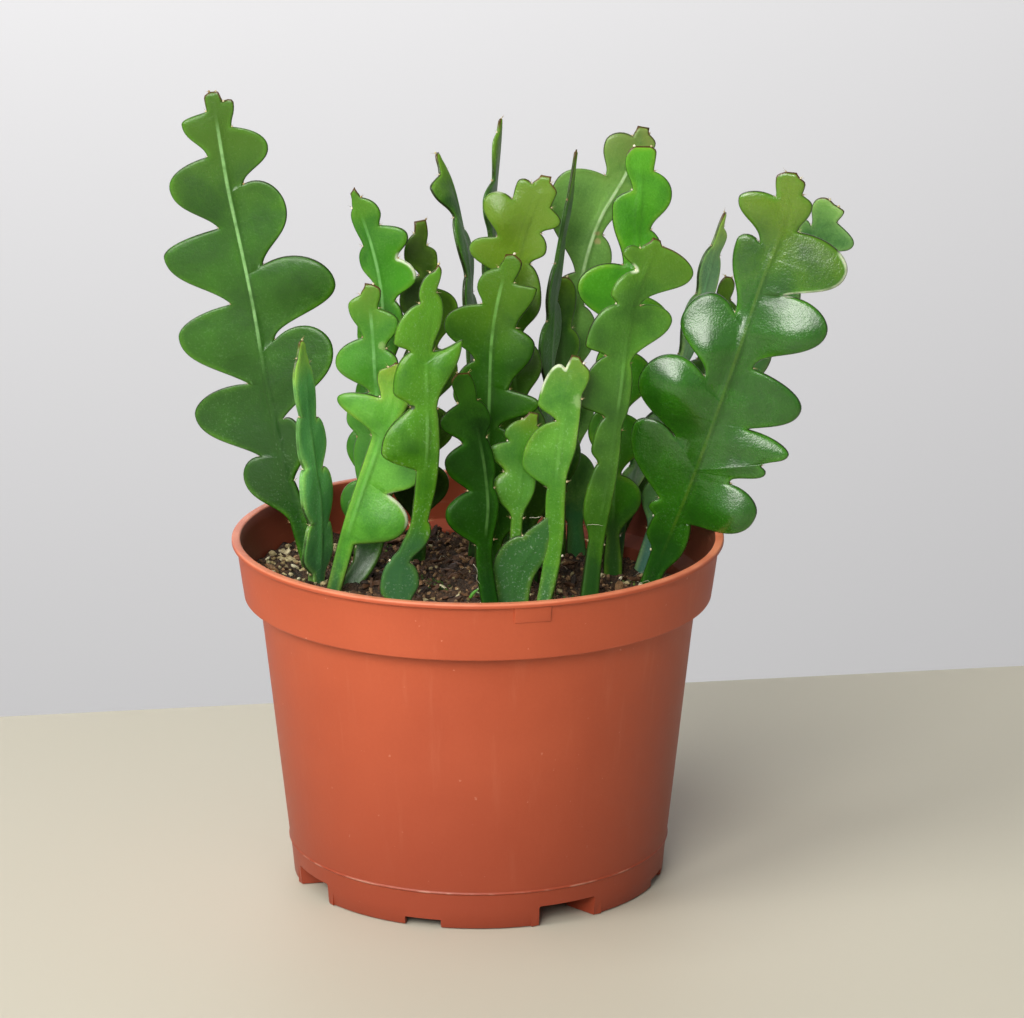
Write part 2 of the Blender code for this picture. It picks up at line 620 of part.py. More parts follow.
def wedge(name, collection, parent, turn, near, far, half_widths, heights):
    """A block along a radius of the pot whose sides close in from the outside to the inside."""
    bm = bmesh.new()
    bmesh.ops.create_cube(bm, size=2.0)
    for vert in bm.verts:
        outer = vert.co.y < 0
        half = half_widths[0] if outer else half_widths[1]
        vert.co = (vert.co.x * half * MM, -(far if outer else near) * MM,
                   heights[1 if vert.co.z > 0 else 0] * MM)
    bmesh.ops.rotate(bm, cent=(0, 0, 0), matrix=Matrix.Rotation(math.radians(turn), 3, "Z"),
                     verts=bm.verts)
    bmesh.ops.recalc_face_normals(bm, faces=bm.faces)
    thing = make_object(name, mesh_from(bm, name), collection, parent)
    hide_cutter(thing)
    return thing


def drain_hole(name, collection, parent, turn):
    bm = bmesh.new()
    bmesh.ops.create_cone(bm, cap_ends=True, segments=14, radius1=DRAIN_RADIUS * MM,
                          radius2=DRAIN_RADIUS * MM, depth=(FLOOR_TOP - FLOOR_BOTTOM + 4) * MM)
    angle = math.radians(turn)
    place = Vector((math.sin(angle), -math.cos(angle), 0.0)) * DRAIN_CIRCLE
    place.z = (FLOOR_TOP + FLOOR_BOTTOM) / 2
    bmesh.ops.translate(bm, vec=place * MM, verts=bm.verts)
    thing = make_object(name, mesh_from(bm, name), collection, parent)
    hide_cutter(thing)


def build_tab(collection, parent):
    """The small raised tab under the lip, set on the band's slope."""
    width, height, relief = TAB
    lean = math.atan((BAND_TOP_RADIUS - BAND_BOTTOM_RADIUS) / (LIP_TOP - LIP_DROP - BAND_BOTTOM))
    middle = LIP_TOP - LIP_DROP - height / 2 + TAB_RISE
    radius = BAND_BOTTOM_RADIUS + (middle - BAND_BOTTOM) * math.tan(lean)
    bm = bmesh.new()
    bmesh.ops.create_cube(bm, size=1.0)
    bmesh.ops.scale(bm, vec=(width * MM, 2 * (relief + TAB_ROOT) * MM, height * MM), verts=bm.verts)
    matrix = (Matrix.Rotation(math.radians(TAB_TURN), 4, "Z")
              @ Matrix.Translation(Vector((0.0, TAB_ROOT - radius, middle)) * MM)
              @ Matrix.Rotation(lean, 4, "X"))
    bmesh.ops.transform(bm, matrix=matrix, verts=bm.verts)
    tab = make_object("tab_block", mesh_from(bm, "tab_block"), collection, parent)
    hide_cutter(tab)


def build_pot(collection, cutters, parent):
    added = bpy.data.collections.new("pot_added")
    cut = bpy.data.collections.new("pot_cut")
    cutters.children.link(added)
    cutters.children.link(cut)
    inner = FOOT_RADIUS - CHANNEL_LENGTH
    for quarter in range(4):
        turn = NOTCH_TURN + 90 * quarter
        half, top = WIDE_NOTCH[0] / 2, WIDE_NOTCH[1]
        inner_half = CHANNEL_INNER_WIDTH / 2
        wedge(f"channel_walls_{quarter}", added, parent, turn, inner, FOOT_RADIUS - 1.0,
              (half + CHANNEL_WALL, inner_half + CHANNEL_WALL), (0.0, FLOOR_BOTTOM + 1.0))
        wedge(f"wide_notch_{quarter}", cut, parent, turn, inner - 2, FOOT_RADIUS + 5,
              (half + 1.3, inner_half - 0.6), (-1.0, top))
        narrow_turn = turn - 45
        narrow_half = NARROW_NOTCH[0] / 2
        wedge(f"narrow_notch_{quarter}", cut, parent, narrow_turn, FOOT_RADIUS - 6,
              FOOT_RADIUS + 5, (narrow_half, narrow_half), (-1.0, NARROW_NOTCH[1]))
        drain_hole(f"drain_{quarter}", cut, parent, turn)
        drain_hole(f"drain_{quarter + 4}", cut, parent, narrow_turn)
    build_tab(added, parent)

    material = make_material("terracotta_plastic", (0.50, 0.13, 0.05), 0.5)
    pot = make_object("pot", turned_mesh("pot", pot_profile()), collection, parent, material)
    add_screw(pot, POT_STEPS)
    add_boolean(pot, "UNION", added)
    add_boolean(pot, "DIFFERENCE", cut)
    return pot


# Potting mix

def soil_height(x, y):
    """Surface of the potting mix: a slight fall to the right, with lumps."""
    lumps = (math.sin(x * 0.31 + 1.0) * math.cos(y * 0.27 - 0.4)
             + 0.6 * math.sin(x * 0.13 - y * 0.52) + 0.5 * math.cos(x * 0.71 + y * 0.43))
    left = max(0.0, -x - 45) * 0.08
    return SOIL_LEVEL - SOIL_TILT * x + left + SOIL_BUMP * lumps


def build_soil_lid(cutters, parent):
    """Everything above the surface of the potting mix, as a cutter."""
    bm = bmesh.new()
    bmesh.ops.create_grid(bm, x_segments=LUMP_CELLS, y_segments=LUMP_CELLS, size=LID_HALF)
    for vert in bm.verts:
        vert.co.z = soil_height(vert.co.x, vert.co.y)
    bmesh.ops.triangulate(bm, faces=bm.faces, quad_method="ALTERNATE")
    rim = [edge for edge in bm.edges if edge.is_boundary]
    raised = bmesh.ops.extrude_edge_only(bm, edges=rim)["geom"]
    upper = [item for item in raised if isinstance(item, bmesh.types.BMVert)]
    for vert in upper:
        vert.co.z = LID_TOP
    bmesh.ops.contextual_create(bm, geom=upper)
    bmesh.ops.scale(bm, vec=(MM, MM, MM), verts=bm.verts)
    bmesh.ops.recalc_face_normals(bm, faces=bm.faces)
    lid = make_object("soil_lid", mesh_from(bm, "soil_lid"), cutters, parent)
    hide_cutter(lid)


def stem_hole(name, blade, cutters, parent):
    """A plain oval hole down the line of a stem's root."""
    curve, lengths = rib_curve(blade["rib"])
    point, up, across, out = blade_frame(blade, curve, lengths, 0.0)
    half = blade.get("stalk_half", STALK_HALF) + GAP
    depth = SUNK + GAP
    height = depth + HOLE_ABOVE
    bm = bmesh.new()
    bmesh.ops.create_cone(bm, cap_ends=True, segments=HOLE_SIDES, radius1=1.0, radius2=1.0,
                          depth=1.0)
    thick = RIB_THICKNESS / 2 + GAP
    bmesh.ops.scale(bm, vec=(half * HOLE_EASE * MM, thick * HOLE_EASE**2 * MM, height * MM),
                    verts=bm.verts)
    centre = point + up * (height / 2 - depth)
    matrix = Matrix((across, -out, up)).transposed().to_4x4()
    matrix.translation = centre * MM
    bmesh.ops.transform(bm, matrix=matrix, verts=bm.verts)
    hole = make_object(name, mesh_from(bm, name), cutters, parent)
    hide_cutter(hole)


def build_soil(collection, cutters, parent):
    cut = bpy.data.collections.new("soil_cut")
    cutters.children.link(cut)
    build_soil_lid(cut, parent)
    for name, blade in BLADES.items():
        stem_hole(name + "_hole", blade, cut, parent)
    stem_hole("old_pad_hole", OLD_PAD, cut, parent)

    slope = (BODY_TOP_RADIUS - FOOT_RADIUS) / BAND_BOTTOM
    inside = lambda height: FOOT_RADIUS + slope * height - WALL - SOIL_GAP
    profile = [
        (0.0, LIP_TOP - 8),
        (BAND_BOTTOM_RADIUS + 0.6 - WALL - SOIL_GAP, LIP_TOP - 8),
        (BAND_BOTTOM_RADIUS + 0.4 - WALL - SOIL_GAP, SHOULDER_TOP + 0.2),
        (inside(SHOULDER_BOTTOM) - 0.1, SHOULDER_BOTTOM + 0.2),
        (inside(FLOOR_TOP), FLOOR_TOP + GAP),
        (0.0, FLOOR_TOP + GAP),
    ]
    material = make_material("potting_mix", (0.035, 0.022, 0.015), 0.95)
    soil = make_object("soil", turned_mesh("soil", profile), collection, parent, material)
    add_screw(soil, SOIL_STEPS)
    add_boolean(soil, "DIFFERENCE", cut)
    return soil


def clear_scene():
    for thing in list(bpy.data.objects):
        bpy.data.objects.remove(thing, do_unlink=True)


def main():
    clear_scene()
    scene = bpy.context.scene
    parts = bpy.data.collections.new("potted_fishbone_cactus")
    cutters = bpy.data.collections.new("cutters")
    scene.collection.children.link(parts)
    scene.collection.children.link(cutters)
    centre = bpy.data.objects.new("pot_centre", None)
    centre.location = (POT_AXIS_X * MM, 0.0, 0.0)
    parts.objects.link(centre)

    pot = build_pot(parts, cutters, centre)
    build_soil(parts, cutters, centre)
    for name, blade in BLADES.items():
        stem = build_stem(name, blade, parts, centre)
        if name == "stem_front_centre":
            join_branch(stem, [OLD_PAD, PAD_SHOOT], parts, cutters, centre)
    pot.data.shade_smooth()
    pot.data.set_sharp_from_angle(angle=math.radians(30))


main()
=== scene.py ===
import math
import random

import bpy
import numpy as np
from mathutils import Euler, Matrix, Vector, noise


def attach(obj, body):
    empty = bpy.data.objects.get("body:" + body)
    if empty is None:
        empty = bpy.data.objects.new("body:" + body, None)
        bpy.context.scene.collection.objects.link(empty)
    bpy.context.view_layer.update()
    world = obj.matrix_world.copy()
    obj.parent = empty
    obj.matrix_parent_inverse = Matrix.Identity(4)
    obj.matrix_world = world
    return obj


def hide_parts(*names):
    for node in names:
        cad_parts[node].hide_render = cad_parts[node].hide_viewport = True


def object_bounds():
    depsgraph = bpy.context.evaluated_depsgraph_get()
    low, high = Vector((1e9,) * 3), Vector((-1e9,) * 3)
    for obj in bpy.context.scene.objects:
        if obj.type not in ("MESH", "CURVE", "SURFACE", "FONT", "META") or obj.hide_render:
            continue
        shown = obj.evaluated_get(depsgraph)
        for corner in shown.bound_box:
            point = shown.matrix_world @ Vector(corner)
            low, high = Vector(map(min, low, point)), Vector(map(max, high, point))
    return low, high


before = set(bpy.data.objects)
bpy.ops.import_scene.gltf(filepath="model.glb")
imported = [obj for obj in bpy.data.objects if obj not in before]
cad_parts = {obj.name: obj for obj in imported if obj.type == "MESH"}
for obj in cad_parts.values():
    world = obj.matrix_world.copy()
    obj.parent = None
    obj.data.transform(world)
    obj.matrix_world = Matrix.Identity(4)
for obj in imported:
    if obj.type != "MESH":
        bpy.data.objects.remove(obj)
cadLow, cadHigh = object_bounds()
print("frame loaded:", len(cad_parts), "nodes")

mm = 0.001
potAxis = np.array([-10.5, 0.0, 0.0])   # the pot stands a little left of the plant's middle


# Stems. rib is the rib's line from the soil to the tip. face is the way the flat side looks, in
# degrees from the front towards the right, at even steps up the rib. left and right are the
# margins as (distance up the rib, distance out from it), a notch and a lobe's tip in turn. A third
# number is the fullness of a lobe's underside, or how far its shoulder stands over the notch above.

def lobes(first, last, count, notch, reach):
    step = (last - first) / count
    marks = []
    for index in range(count):
        marks += [(first + step * index, notch), (first + step * (index + 0.6), reach)]
    return marks + [(last, notch)]

blades = {
    "stem_far_left": {
        "rib": [(-55.3, 11, 98), (-63, 14, 128), (-70, 16, 162), (-76, 16, 200), (-83, 15, 236),
            (-87, 14, 264)],
        "face": (-14, -10, -6),
        "left": [(21, 3), (38.5, 15), (45, 7.5, 1), (61.5, 27.3, 0.35), (70, 6.5, 1),
            (88.5, 26.8, 0.4), (98, 7.5), (117.5, 27, 0.3), (124.5, 6.3), (140, 19.5, 0.25),
            (149, 5), (160.5, 12), (164, 3), (168.5, 3.2), (170.5, 1)],
        "right": [(8, 3), (22, 3.2), (35, 2), (48, 9, 0.3), (56.5, 3, 2), (79, 24.6, 0.35),
            (84, 5, 8), (101.5, 29.3, 0.05), (110, 5.8, 5), (128, 18, 0.2), (138, 5, 3),
            (150, 15.5), (158, 4.5), (166.3, 6.5), (167, 3, 1), (169.5, 2.2), (170.5, 1)],
        "stalkHalf": 3.0,
    },
    "stem_left_edge": {
        "rib": [(-54.4, -1.2, 100), (-53.3, -4, 120), (-56, -12, 155), (-58, -20, 189)],
        "face": (58, 62, 54),
        "left": [(5, 4), (14, 10, 0.4), (25, 6.5, 1), (35, 10, 0.4), (46, 5.5, 1), (55, 7.2, 0.4),
            (65, 4.5, 1), (77, 6.8, 0.4), (86, 3), (91, 1)],
        "right": [(4, 4), (12, 8.5, 0.4), (21, 6, 1), (31, 10, 0.4), (41, 5, 1), (50, 9.5, 0.4),
            (60, 5, 1), (71, 6, 0.4), (81, 4), (88, 2.5), (91, 1)],
    },
    "stem_front_left": {
        "rib": [(-48, -10, 101), (-44, -12, 117), (-38, -14, 137), (-32, -15, 155),
            (-26, -17, 180)],
        "face": (-14, -8, -4),
        "left": [(56, 3), (66, 17.2), (70, 3.5, 1), (78, 6), (81, 3), (83, 1.2)],
        "right": [(18, 3), (31, 18, 0.55), (39, 8.5), (48, 16.5, 0.4), (61, 4), (73, 6.5), (80, 2),
            (83, 1.2)],
        "stalkHalf": 2.6,
    },
    "stem_front_bright": {
        "rib": [(-26, -24, 100), (-25, -26, 115), (-20, -30, 128), (-17, -34, 152),
            (-16.5, -36, 196), (-13.5, -37, 218.5)],
        "face": (4, 8, 12),
        "left": [(1, 4), (5, 6.5), (15, 4), (20, 2.5), (30, 2.5), (41, 3), (51, 3), (58, 15, 0.6),
            (73, 5, -4), (79, 10.8), (91.5, 5.2), (94.5, 10.7), (107.5, 3.3), (111, 4.2),
            (118, 1.2)],
        "right": [(1, 4), (8, 6.5), (16, 2.5), (28, 5), (33, 3), (52, 4.5), (72, 3.5), (95.5, 12),
            (91.5, 2.5), (104, 5), (111.5, 1.9), (118, 2.6), (121, 1)],
    },
    "stem_left_middle": {
        "rib": [(-44, -1, 99), (-37, 2, 108), (-33, 4, 121), (-33, 6, 145), (-34, 5, 175),
            (-36, 3, 202)],
        "face": (-18, -14, -10),
        "left": [(8, 4), (30, 11.5, 0.3), (33.5, 7.6), (48, 8.8), (54, 7.3), (60, 11, 0.2),
            (70, 2.5), (80, 13.5, 0.25), (89, 3.5), (100, 7.5), (104, 3), (108, 1.2)],
        "right": [(33, 3.5), (42, 8), (53, 3.5), (63, 8.5), (72, 3.5), (80, 8), (85, 4), (94, 9),
            (99, 2.5), (105, 4), (107.5, 1.5)],
        "sunk": 9.0,
    },
    "stem_left_back": {
        "rib": [(-39, 20, 102), (-38, 21, 123), (-31, 23, 183), (-33, 22, 203), (-42, 19, 232)],
        "face": (-12, -20, -18),
        "left": lobes(9, 66, 3, 3, 9) + [(78, 10.5), (96, 2.5), (105, 6), (111, 3.2), (120, 4.2),
            (125, 2.3), (130, 1.2)],
        "right": lobes(9, 68, 3, 3, 9) + [(85, 7), (91, 4.5), (99, 13), (105, 7.5), (112, 13.2),
            (117, 4.8), (122, 6.8), (128, 2), (132, 1.2)],
    },
    "stem_left_olive": {
        "rib": [(-21, 34, 104), (-19, 34, 132), (-16, 35, 176), (-19, 33, 216)],
        "face": (12, 16, 12),
        "left": lobes(8, 95, 4, 2.5, 10) + [(102, 7), (110, 2.6), (114, 2.2)],
        "right": lobes(9, 69, 3, 2.5, 10) + [(82, 10), (90, 2), (101, 4.4), (105, 1.2), (110, 2.2),
            (114, 2)],
    },
    "stem_back_left_thin": {
        "rib": [(-1, 44, 100), (-1, 44, 150), (-2.5, 44, 186), (-4.2, 44, 204), (-8.1, 45, 221),
            (-13.7, 47, 238.5)],
        "face": (70, 74, 70, 58),
        "left": lobes(14, 117, 5, 2.5, 6) + [(129, 11), (132.3, 2.6), (136, 1.8), (139.5, 0.8)],
        "right": lobes(22, 112, 4, 2.5, 6) + [(125, 3), (133, 2), (139.5, 0.8)],
    },
    "stem_centre_tall": {
        "rib": [(7, 4, 96), (4, 4, 121), (4, 4, 160), (6, 3, 192), (11, 3, 213)],
        "face": (-10, -8, -12),
        "left": lobes(17, 58, 2, 3, 9) + [(68, 12.5), (80, 5.5), (91, 16.5), (99, 5), (105, 8),
            (112, 2.5), (117, 1.5)],
        "right": lobes(16, 58, 2, 3.5, 11) + [(67, 17), (71, 6.5), (87, 14.5), (93, 7.5),
            (108.5, 11.8), (108.5, 3.8), (115, 4.8), (118, 1.2)],
    },
    "stem_centre_yellow": {
        "rib": [(17, 17, 103), (14, 18, 150), (12, 18, 187), (14, 17, 211), (23, 15, 236)],
        "face": (-12, -12, -8),
        "left": lobes(11, 79, 3, 2.5, 9) + [(89, 8.5), (98, 3.5), (106, 16.5, 0.3), (111, 8, -1),
            (120.5, 16), (124, 7.5, 2), (129.5, 8.2), (131, 3.5, 1.5), (135, 2)],
        "right": lobes(10, 78, 3, 3, 9.5) + [(91, 9.5), (104, 4.5), (110, 9), (116, 5.5),
            (122, 10.5), (126, 5.5), (131, 5.5), (134, 2), (136, 1.5)],
    },
    "stem_back_centre_thin": {
        "rib": [(10, 38, 105), (8, 38, 150), (5, 36, 200), (5.4, 36, 225), (6.7, 35, 240),
            (7.8, 34, 252.4)],
        "face": (74, 72, 66),
        "left": lobes(14, 106, 4, 3, 9) + [(121, 12), (126.5, 3), (139, 5), (143, 1.6),
            (147.5, 0.8)],
        "right": lobes(24, 120, 4, 2.5, 6) + [(132, 2), (147.5, 0.8)],
    },
    "stem_back_right_thin": {
        "rib": [(24, 28, 100), (24, 28, 146), (25, 29, 184.7), (27.2, 29, 204.7),
            (29.8, 29, 219.7), (33.2, 30, 242.4)],
        "face": (62, 64, 72),
        "left": lobes(14, 84, 3, 3, 8) + [(94, 6), (104, 2.5), (118, 3), (126, 2), (143, 0.8)],
        "right": lobes(24, 90, 3, 3, 7) + [(100, 5), (112, 2.5), (122, 3.2), (132, 1.6),
            (143, 0.8)],
    },
    "stem_back_short": {
        "rib": [(27, 41.5, 100), (28, 42, 140), (29.3, 42, 178), (29.3, 42, 196)],
        "face": (20, 16, 10),
        "left": lobes(12, 60, 2, 3, 8) + [(74, 8), (82, 3), (91, 4.5), (96, 1.2)],
        "right": lobes(20, 64, 2, 3, 8) + [(72, 6), (78, 3), (89, 4.5), (96, 1.2)],
    },
    "stem_back_dark": {
        "rib": [(34, 52, 98), (32, 53, 130), (31.5, 54, 168), (34.5, 54, 188.6), (41.8, 53, 214),
            (50.6, 52, 230), (56.5, 51, 246.2)],
        "face": (12, 10, 6),
        "left": lobes(8, 97, 4, 2.5, 9) + [(122, 20, 0.2), (131.5, 6, 0.5), (144, 11),
            (148.5, 2.5, 1.5), (152.5, 2)],
        "right": lobes(7, 112, 4, 3, 9) + [(132, 7), (140, 2.5), (147.5, 6), (151, 2.5), (153, 2)],
    },
    "stem_right_bright": {
        "rib": [(46, 26, 100), (46, 26, 122), (53, 25, 206), (55, 24, 245)],
        "face": (10, 8, 4),
        "left": lobes(9, 79, 3, 2.5, 10) + [(96, 19), (104, 4, 2), (124, 9), (130, 2.5),
            (140, 5.5), (145, 2.5)],
        "right": lobes(9, 74, 3, 2.5, 10) + [(85, 13.5), (94, 3), (105, 9.5), (116.5, 4.5),
            (128.5, 11), (136.5, 4.5), (143, 5), (145, 3)],
    },
    "stem_right_front": {
        "rib": [(37, -8, 96), (39, -8, 115), (43.3, -8, 141.6), (47.1, -8, 169), (50.5, -7, 195),
            (54, -6.5, 207), (59, -5, 219)],
        "face": (16, 12, 8),
        "left": [(21, 2.5), (34, 6.5), (48, 4), (53, 7), (64, 4), (68, 13.5), (85, 6), (88, 13.5),
            (102, 5.5), (105, 8.5), (114, 2.5), (118, 9), (121, 4, 1), (126, 1.5)],
        "right": [(20, 3), (42, 3.5), (60, 2.5), (70, 4), (83, 2.5), (99.5, 14.6, 0.1),
            (103, 2.5, 3), (119, 16), (124.5, 2.5, 1), (126, 1.2)],
    },
    "stem_front_centre": {
        "rib": [(22, -16, 98), (25, -16, 115), (26, -17, 140), (29, -18, 165), (32, -18, 182)],
        "face": (-18, -14, -10),
        "left": [(29, 3.5), (34, 3.5), (40, 3), (47.5, 12.3, 0.5), (63, 2.5), (68, 9.5),
            (81, 2.5, 4), (86, 1.5)],
        "right": [(17, 3), (30, 3.5), (43, 3.5), (58, 5.5), (72, 4.5), (80, 6), (84, 3),
            (86, 1.5)],
        "stalkHalf": 2.6,
    },
    "stem_front_pale": {
        "rib": [(4, -21, 99), (2, -19, 114), (3, -17, 134), (1, -16, 151), (-5, -17, 177)],
        "face": (12, 14, 16),
        "left": [(20, 3), (30, 14, 0.5), (39, 6), (50, 13, 0.4), (56, 6), (65, 12), (70, 4),
            (77, 4.5), (80, 1.5)],
        "right": [(22, 3), (33, 4), (39, 2.5), (47, 4), (56, 2.5), (62, 5.5), (69, 2.5), (74, 3),
            (79, 2)],
        "stalkHalf": 3.0,
    },
    "stem_right_glossy": {
        "rib": [(58.6, 14, 96), (68.6, 6, 125), (76.6, 2, 149), (87, 1, 181), (93.7, 1, 202.6),
            (100.3, 1, 221.7), (103.4, 0, 240.2)],
        "face": (-10, -8, -8),
        "dome": 1.3,
        "left": [(12, 4), (19, 8), (25, 7.5), (28, 10.5), (32, 8), (53.5, 25, 0.5), (55, 10.5, 6),
            (71.5, 28.4, 0.45), (79, 8, 9), (95, 21.5, 0), (102, 5.2, 9), (125, 12.8, 0),
            (127, 5.5, 3), (141.5, 16, 0.1), (144, 4, 2.5), (150.5, 5), (153, 2)],
        "right": [(5, 3.2), (18, 6.6), (27, 5), (40.2, 24.4, 0.8), (46.7, 12.3, 1),
            (54.4, 22.3, -0.2), (56.3, 19.8, -0.5), (62.8, 27.3, 0.1), (66, 11.5, 1),
            (77.5, 26.2, 0.5), (86, 6.5, 0), (105.5, 26, 0), (113, 8.5, 3), (127, 25.3, 0.4),
            (134, 5.5, 1), (142.5, 8.5), (146, 4.5), (149.5, 5), (151.5, 3), (153.2, 1.5)],
    },
    "stem_right_behind": {
        "rib": [(57, 33, 95), (62, 33.5, 112), (68, 34, 127), (86.6, 36, 161), (103.2, 36, 189),
            (115.9, 35, 213.6), (121.2, 33, 225)],
        "face": (-14, -12, -8),
        "left": lobes(14, 74, 3, 3, 9) + [(90, 8), (100, 3), (112, 6), (121, 3), (132.5, 7.5),
            (132.7, 3.6, 2), (140.5, 6.5), (144, 2, 0.5)],
        "right": lobes(44, 92, 2, 3, 8) + [(104, 6), (112, 3), (120, 4), (126, 3.5),
            (133.5, 12.2, 0.25), (138, 3.7), (142, 4.3), (143.2, 1.5)],
    },
    "stem_right_thin": {
        "rib": [(47, 37, 97), (54, 41, 130), (65, 42, 155), (75, 42, 187), (79, 43, 201),
            (84, 45, 217)],
        "face": (50, 56, 60, 56),
        "left": lobes(12, 98, 4, 3, 8) + [(108, 6), (115, 2.5), (120, 2), (127, 0.8)],
        "right": lobes(20, 88, 3, 3, 8) + [(100, 8), (112, 4.5), (118, 6), (122, 1.5), (127, 0.8)],
    },
    "stem_right_dark": {
        "rib": [(44, 47, 96), (60, 52.5, 128), (77, 54, 160), (86, 54, 193)],
        "face": (20, 16, 10),
        "left": lobes(28, 76, 2, 3, 8) + [(88, 6), (96, 2.5), (102, 3), (107, 1.2)],
        "right": lobes(26, 80, 3, 3, 8) + [(93, 7), (99, 2.5), (103, 3), (107, 1.2)],
    },
}

# Growth that shares a root or a joint with the front centre stem, and is one piece with it.
oldPad = {
    "age": 0.06,     # the whole pad is as old as a stem's foot
    "rib": [(11, -14, 97), (13, -14, 108), (19, -15, 118), (27, -16.5, 129)],
    "face": (-4, 0),
    "left": [(2, 5), (14, 8.8), (23, 5), (36, 2.5)],
    "right": [(4, 6), (19, 6), (26, 4), (34, 2.5)],
    "stalkHalf": 6.0,
}
padShoot = {
    "rib": [(12.4, -12.4, 115.5), (13, -13, 127), (15, -10, 147), (18, -9, 160)],
    "face": (0, 4, 6),
    "left": [(11, 2), (21, 9), (26, 5.5), (32, 11.5), (36, 6), (38, 8), (44, 3), (47, 1.5)],
    "right": [(11, 2), (23, 5.5), (32, 2.5), (40, 5), (43, 2.5), (47, 2)],
    "stalkHalf": 2.2,
    "sunk": 1.0,
}

stem = {
    "sunk": 19.0, "stalkHalf": 3.4,       # length below the soil, half width of the stalk
    "liftFull": 20.0,                     # height where waves and swelling are at full strength
    "fullness": 0.1, "shoulder": -1.0,    # the usual lobe
    "wave": 1.5, "waveLength": 9.0, "cup": 1.0, "farReach": 20.0,  # wave and cup at that reach
    "dome": 1.9, "domeWidth": 6.5, "domeSize": 23.0,  # how far a lobe swells to the front
    "pucker": 0.32, "puckerSize": 9.0,    # small unevenness
    "curl": 0.75, "curlSize": 16.0, "curlWidth": 2.2,  # how the margin rolls over
    "rowsPerStroke": 11, "columns": 11,   # columns on each side of the rib
    "evenings": 30,
    "lamina": 0.78, "tipSlim": 0.36, "tipTaper": 45.0,  # half thickness, and less at the tip
    "stalkBulk": 0.7, "stalkHeight": 14.0,  # a stalk is thicker and rounder
    "ridge": 0.62, "ridgeWidth": 0.9,     # raised rib, half height and width
    "ridgeFrom": 4.0, "ridgeFull": 10.0,  # half widths of blade between which the rib rises
    "rim": 0.95,                          # radius of the rounded margin
    "domeLeast": 0.35, "domeSpread": 2.2,  # how uneven the lobes' swelling is
    "puckerFull": 5, "curlFull": 9, "domeFull": 6,    # reach at which each is at full strength
    "tipThin": 0.2,                       # share of the thickness that is gone at the tip
    "plump": 0.25, "plumpFull": 8,        # what a broad part has more, from that far in
    "leastRidge": 0.06,                   # the rib on the narrowest parts
    "foldGap": 0.15, "rowGap": 0.06,      # room between rows so that no cell folds over
}
# where a blade's columns lie between rib and margin, on slim parts and on wide ones
slimShares = np.array([0, .15, .3, .42, .52, .62, .71, .79, .86, .92, .97, 1])
wideShares = np.array([0, .03, .07, .13, .25, .42, .6, .78, .91, .965, .988, 1])


def deselectAll():
    if bpy.context.object and bpy.context.object.mode != "OBJECT":
        bpy.ops.object.mode_set(mode="OBJECT")
    bpy.ops.object.select_all(action="DESELECT")


def pick(*objects):
    deselectAll()
    for item in objects:
        item.select_set(True)
    bpy.context.view_layer.objects.active = objects[0]
    return objects[0]


def added(name, operator, **settings):
    # one new object from one of Blender's own add operators, under its own name
    deselectAll()
    operator(**settings)
    item = bpy.context.object
    item.name = item.data.name = name
    return item


def edited(item, *steps):
    # each step runs on the whole mesh in edit mode
    pick(item)
    bpy.ops.object.mode_set(mode="EDIT")
    for step in steps:
        bpy.ops.mesh.select_all(action="SELECT")
        step()
    bpy.ops.object.mode_set(mode="OBJECT")


def dress(item, material):
    item.data.materials.clear()
    item.data.materials.append(material)
    return item


def setCoords(item, coords):
    item.data.vertices.foreach_set("co", np.asarray(coords, np.float32).ravel())
    item.data.update()


def getCoords(item):
    coords = np.zeros(len(item.data.vertices) * 3, np.float32)
    item.data.vertices.foreach_get("co", coords)
    return coords.reshape(-1, 3).astype(float)


def setAttribute(item, name, values):
    layer = item.data.attributes.get(name) or item.data.attributes.new(name, "FLOAT", "POINT")
    layer.data.foreach_set("value", np.asarray(values, np.float32).ravel())


def addGrid(name, columns, rows):
    # a flat grid with its own UV map, and each vertex's column and row
    item = added(name, bpy.ops.mesh.primitive_grid_add, x_subdivisions=columns,
                 y_subdivisions=rows, size=2, calc_uvs=True)
    coords = getCoords(item)
    column = np.rint((coords[:, 0] + 1) / 2 * columns).astype(int)
    row = np.rint((coords[:, 1] + 1) / 2 * rows).astype(int)
    return item, column, row


def join(first, *others):
    pick(first, *others)
    bpy.ops.object.join()
    return first


def mergeDoubles(item, distance):
    edited(item, lambda: bpy.ops.mesh.remove_doubles(threshold=distance))


def smooth(item, angle=None):
    pick(item)
    if angle is None:
        bpy.ops.object.shade_smooth()
    else:
        bpy.ops.object.shade_smooth_by_angle(angle=math.radians(angle))


def ribCurve(knots, samples=400):
    points = np.array(knots, float)
    spans = np.linalg.norm(np.diff(points, axis=0), axis=1)
    slopes = np.diff(points, axis=0) / spans[:, None]
    inner = [(slopes[i - 1] * spans[i] + slopes[i] * spans[i - 1]) / (spans[i - 1] + spans[i])
             for i in range(1, len(spans))]
    tangents = [(slopes[0] * 3 - inner[0]) / 2, *inner, (slopes[-1] * 3 - inner[-1]) / 2]
    curve = [points[0]]
    for index, span in enumerate(spans):
        count = max(4, round(samples * span / sum(spans)))
        for x in np.arange(1, count + 1) / count:
            curve.append((2 * x**3 - 3 * x**2 + 1) * points[index]
                         + (x**3 - 2 * x**2 + x) * span * tangents[index]
                         + (3 * x**2 - 2 * x**3) * points[index + 1]
                         + (x**3 - x**2) * span * tangents[index + 1])
    curve = np.array(curve)
    lengths = np.concatenate([[0.0], np.cumsum(np.linalg.norm(np.diff(curve, axis=0), axis=1))])
    return curve, lengths


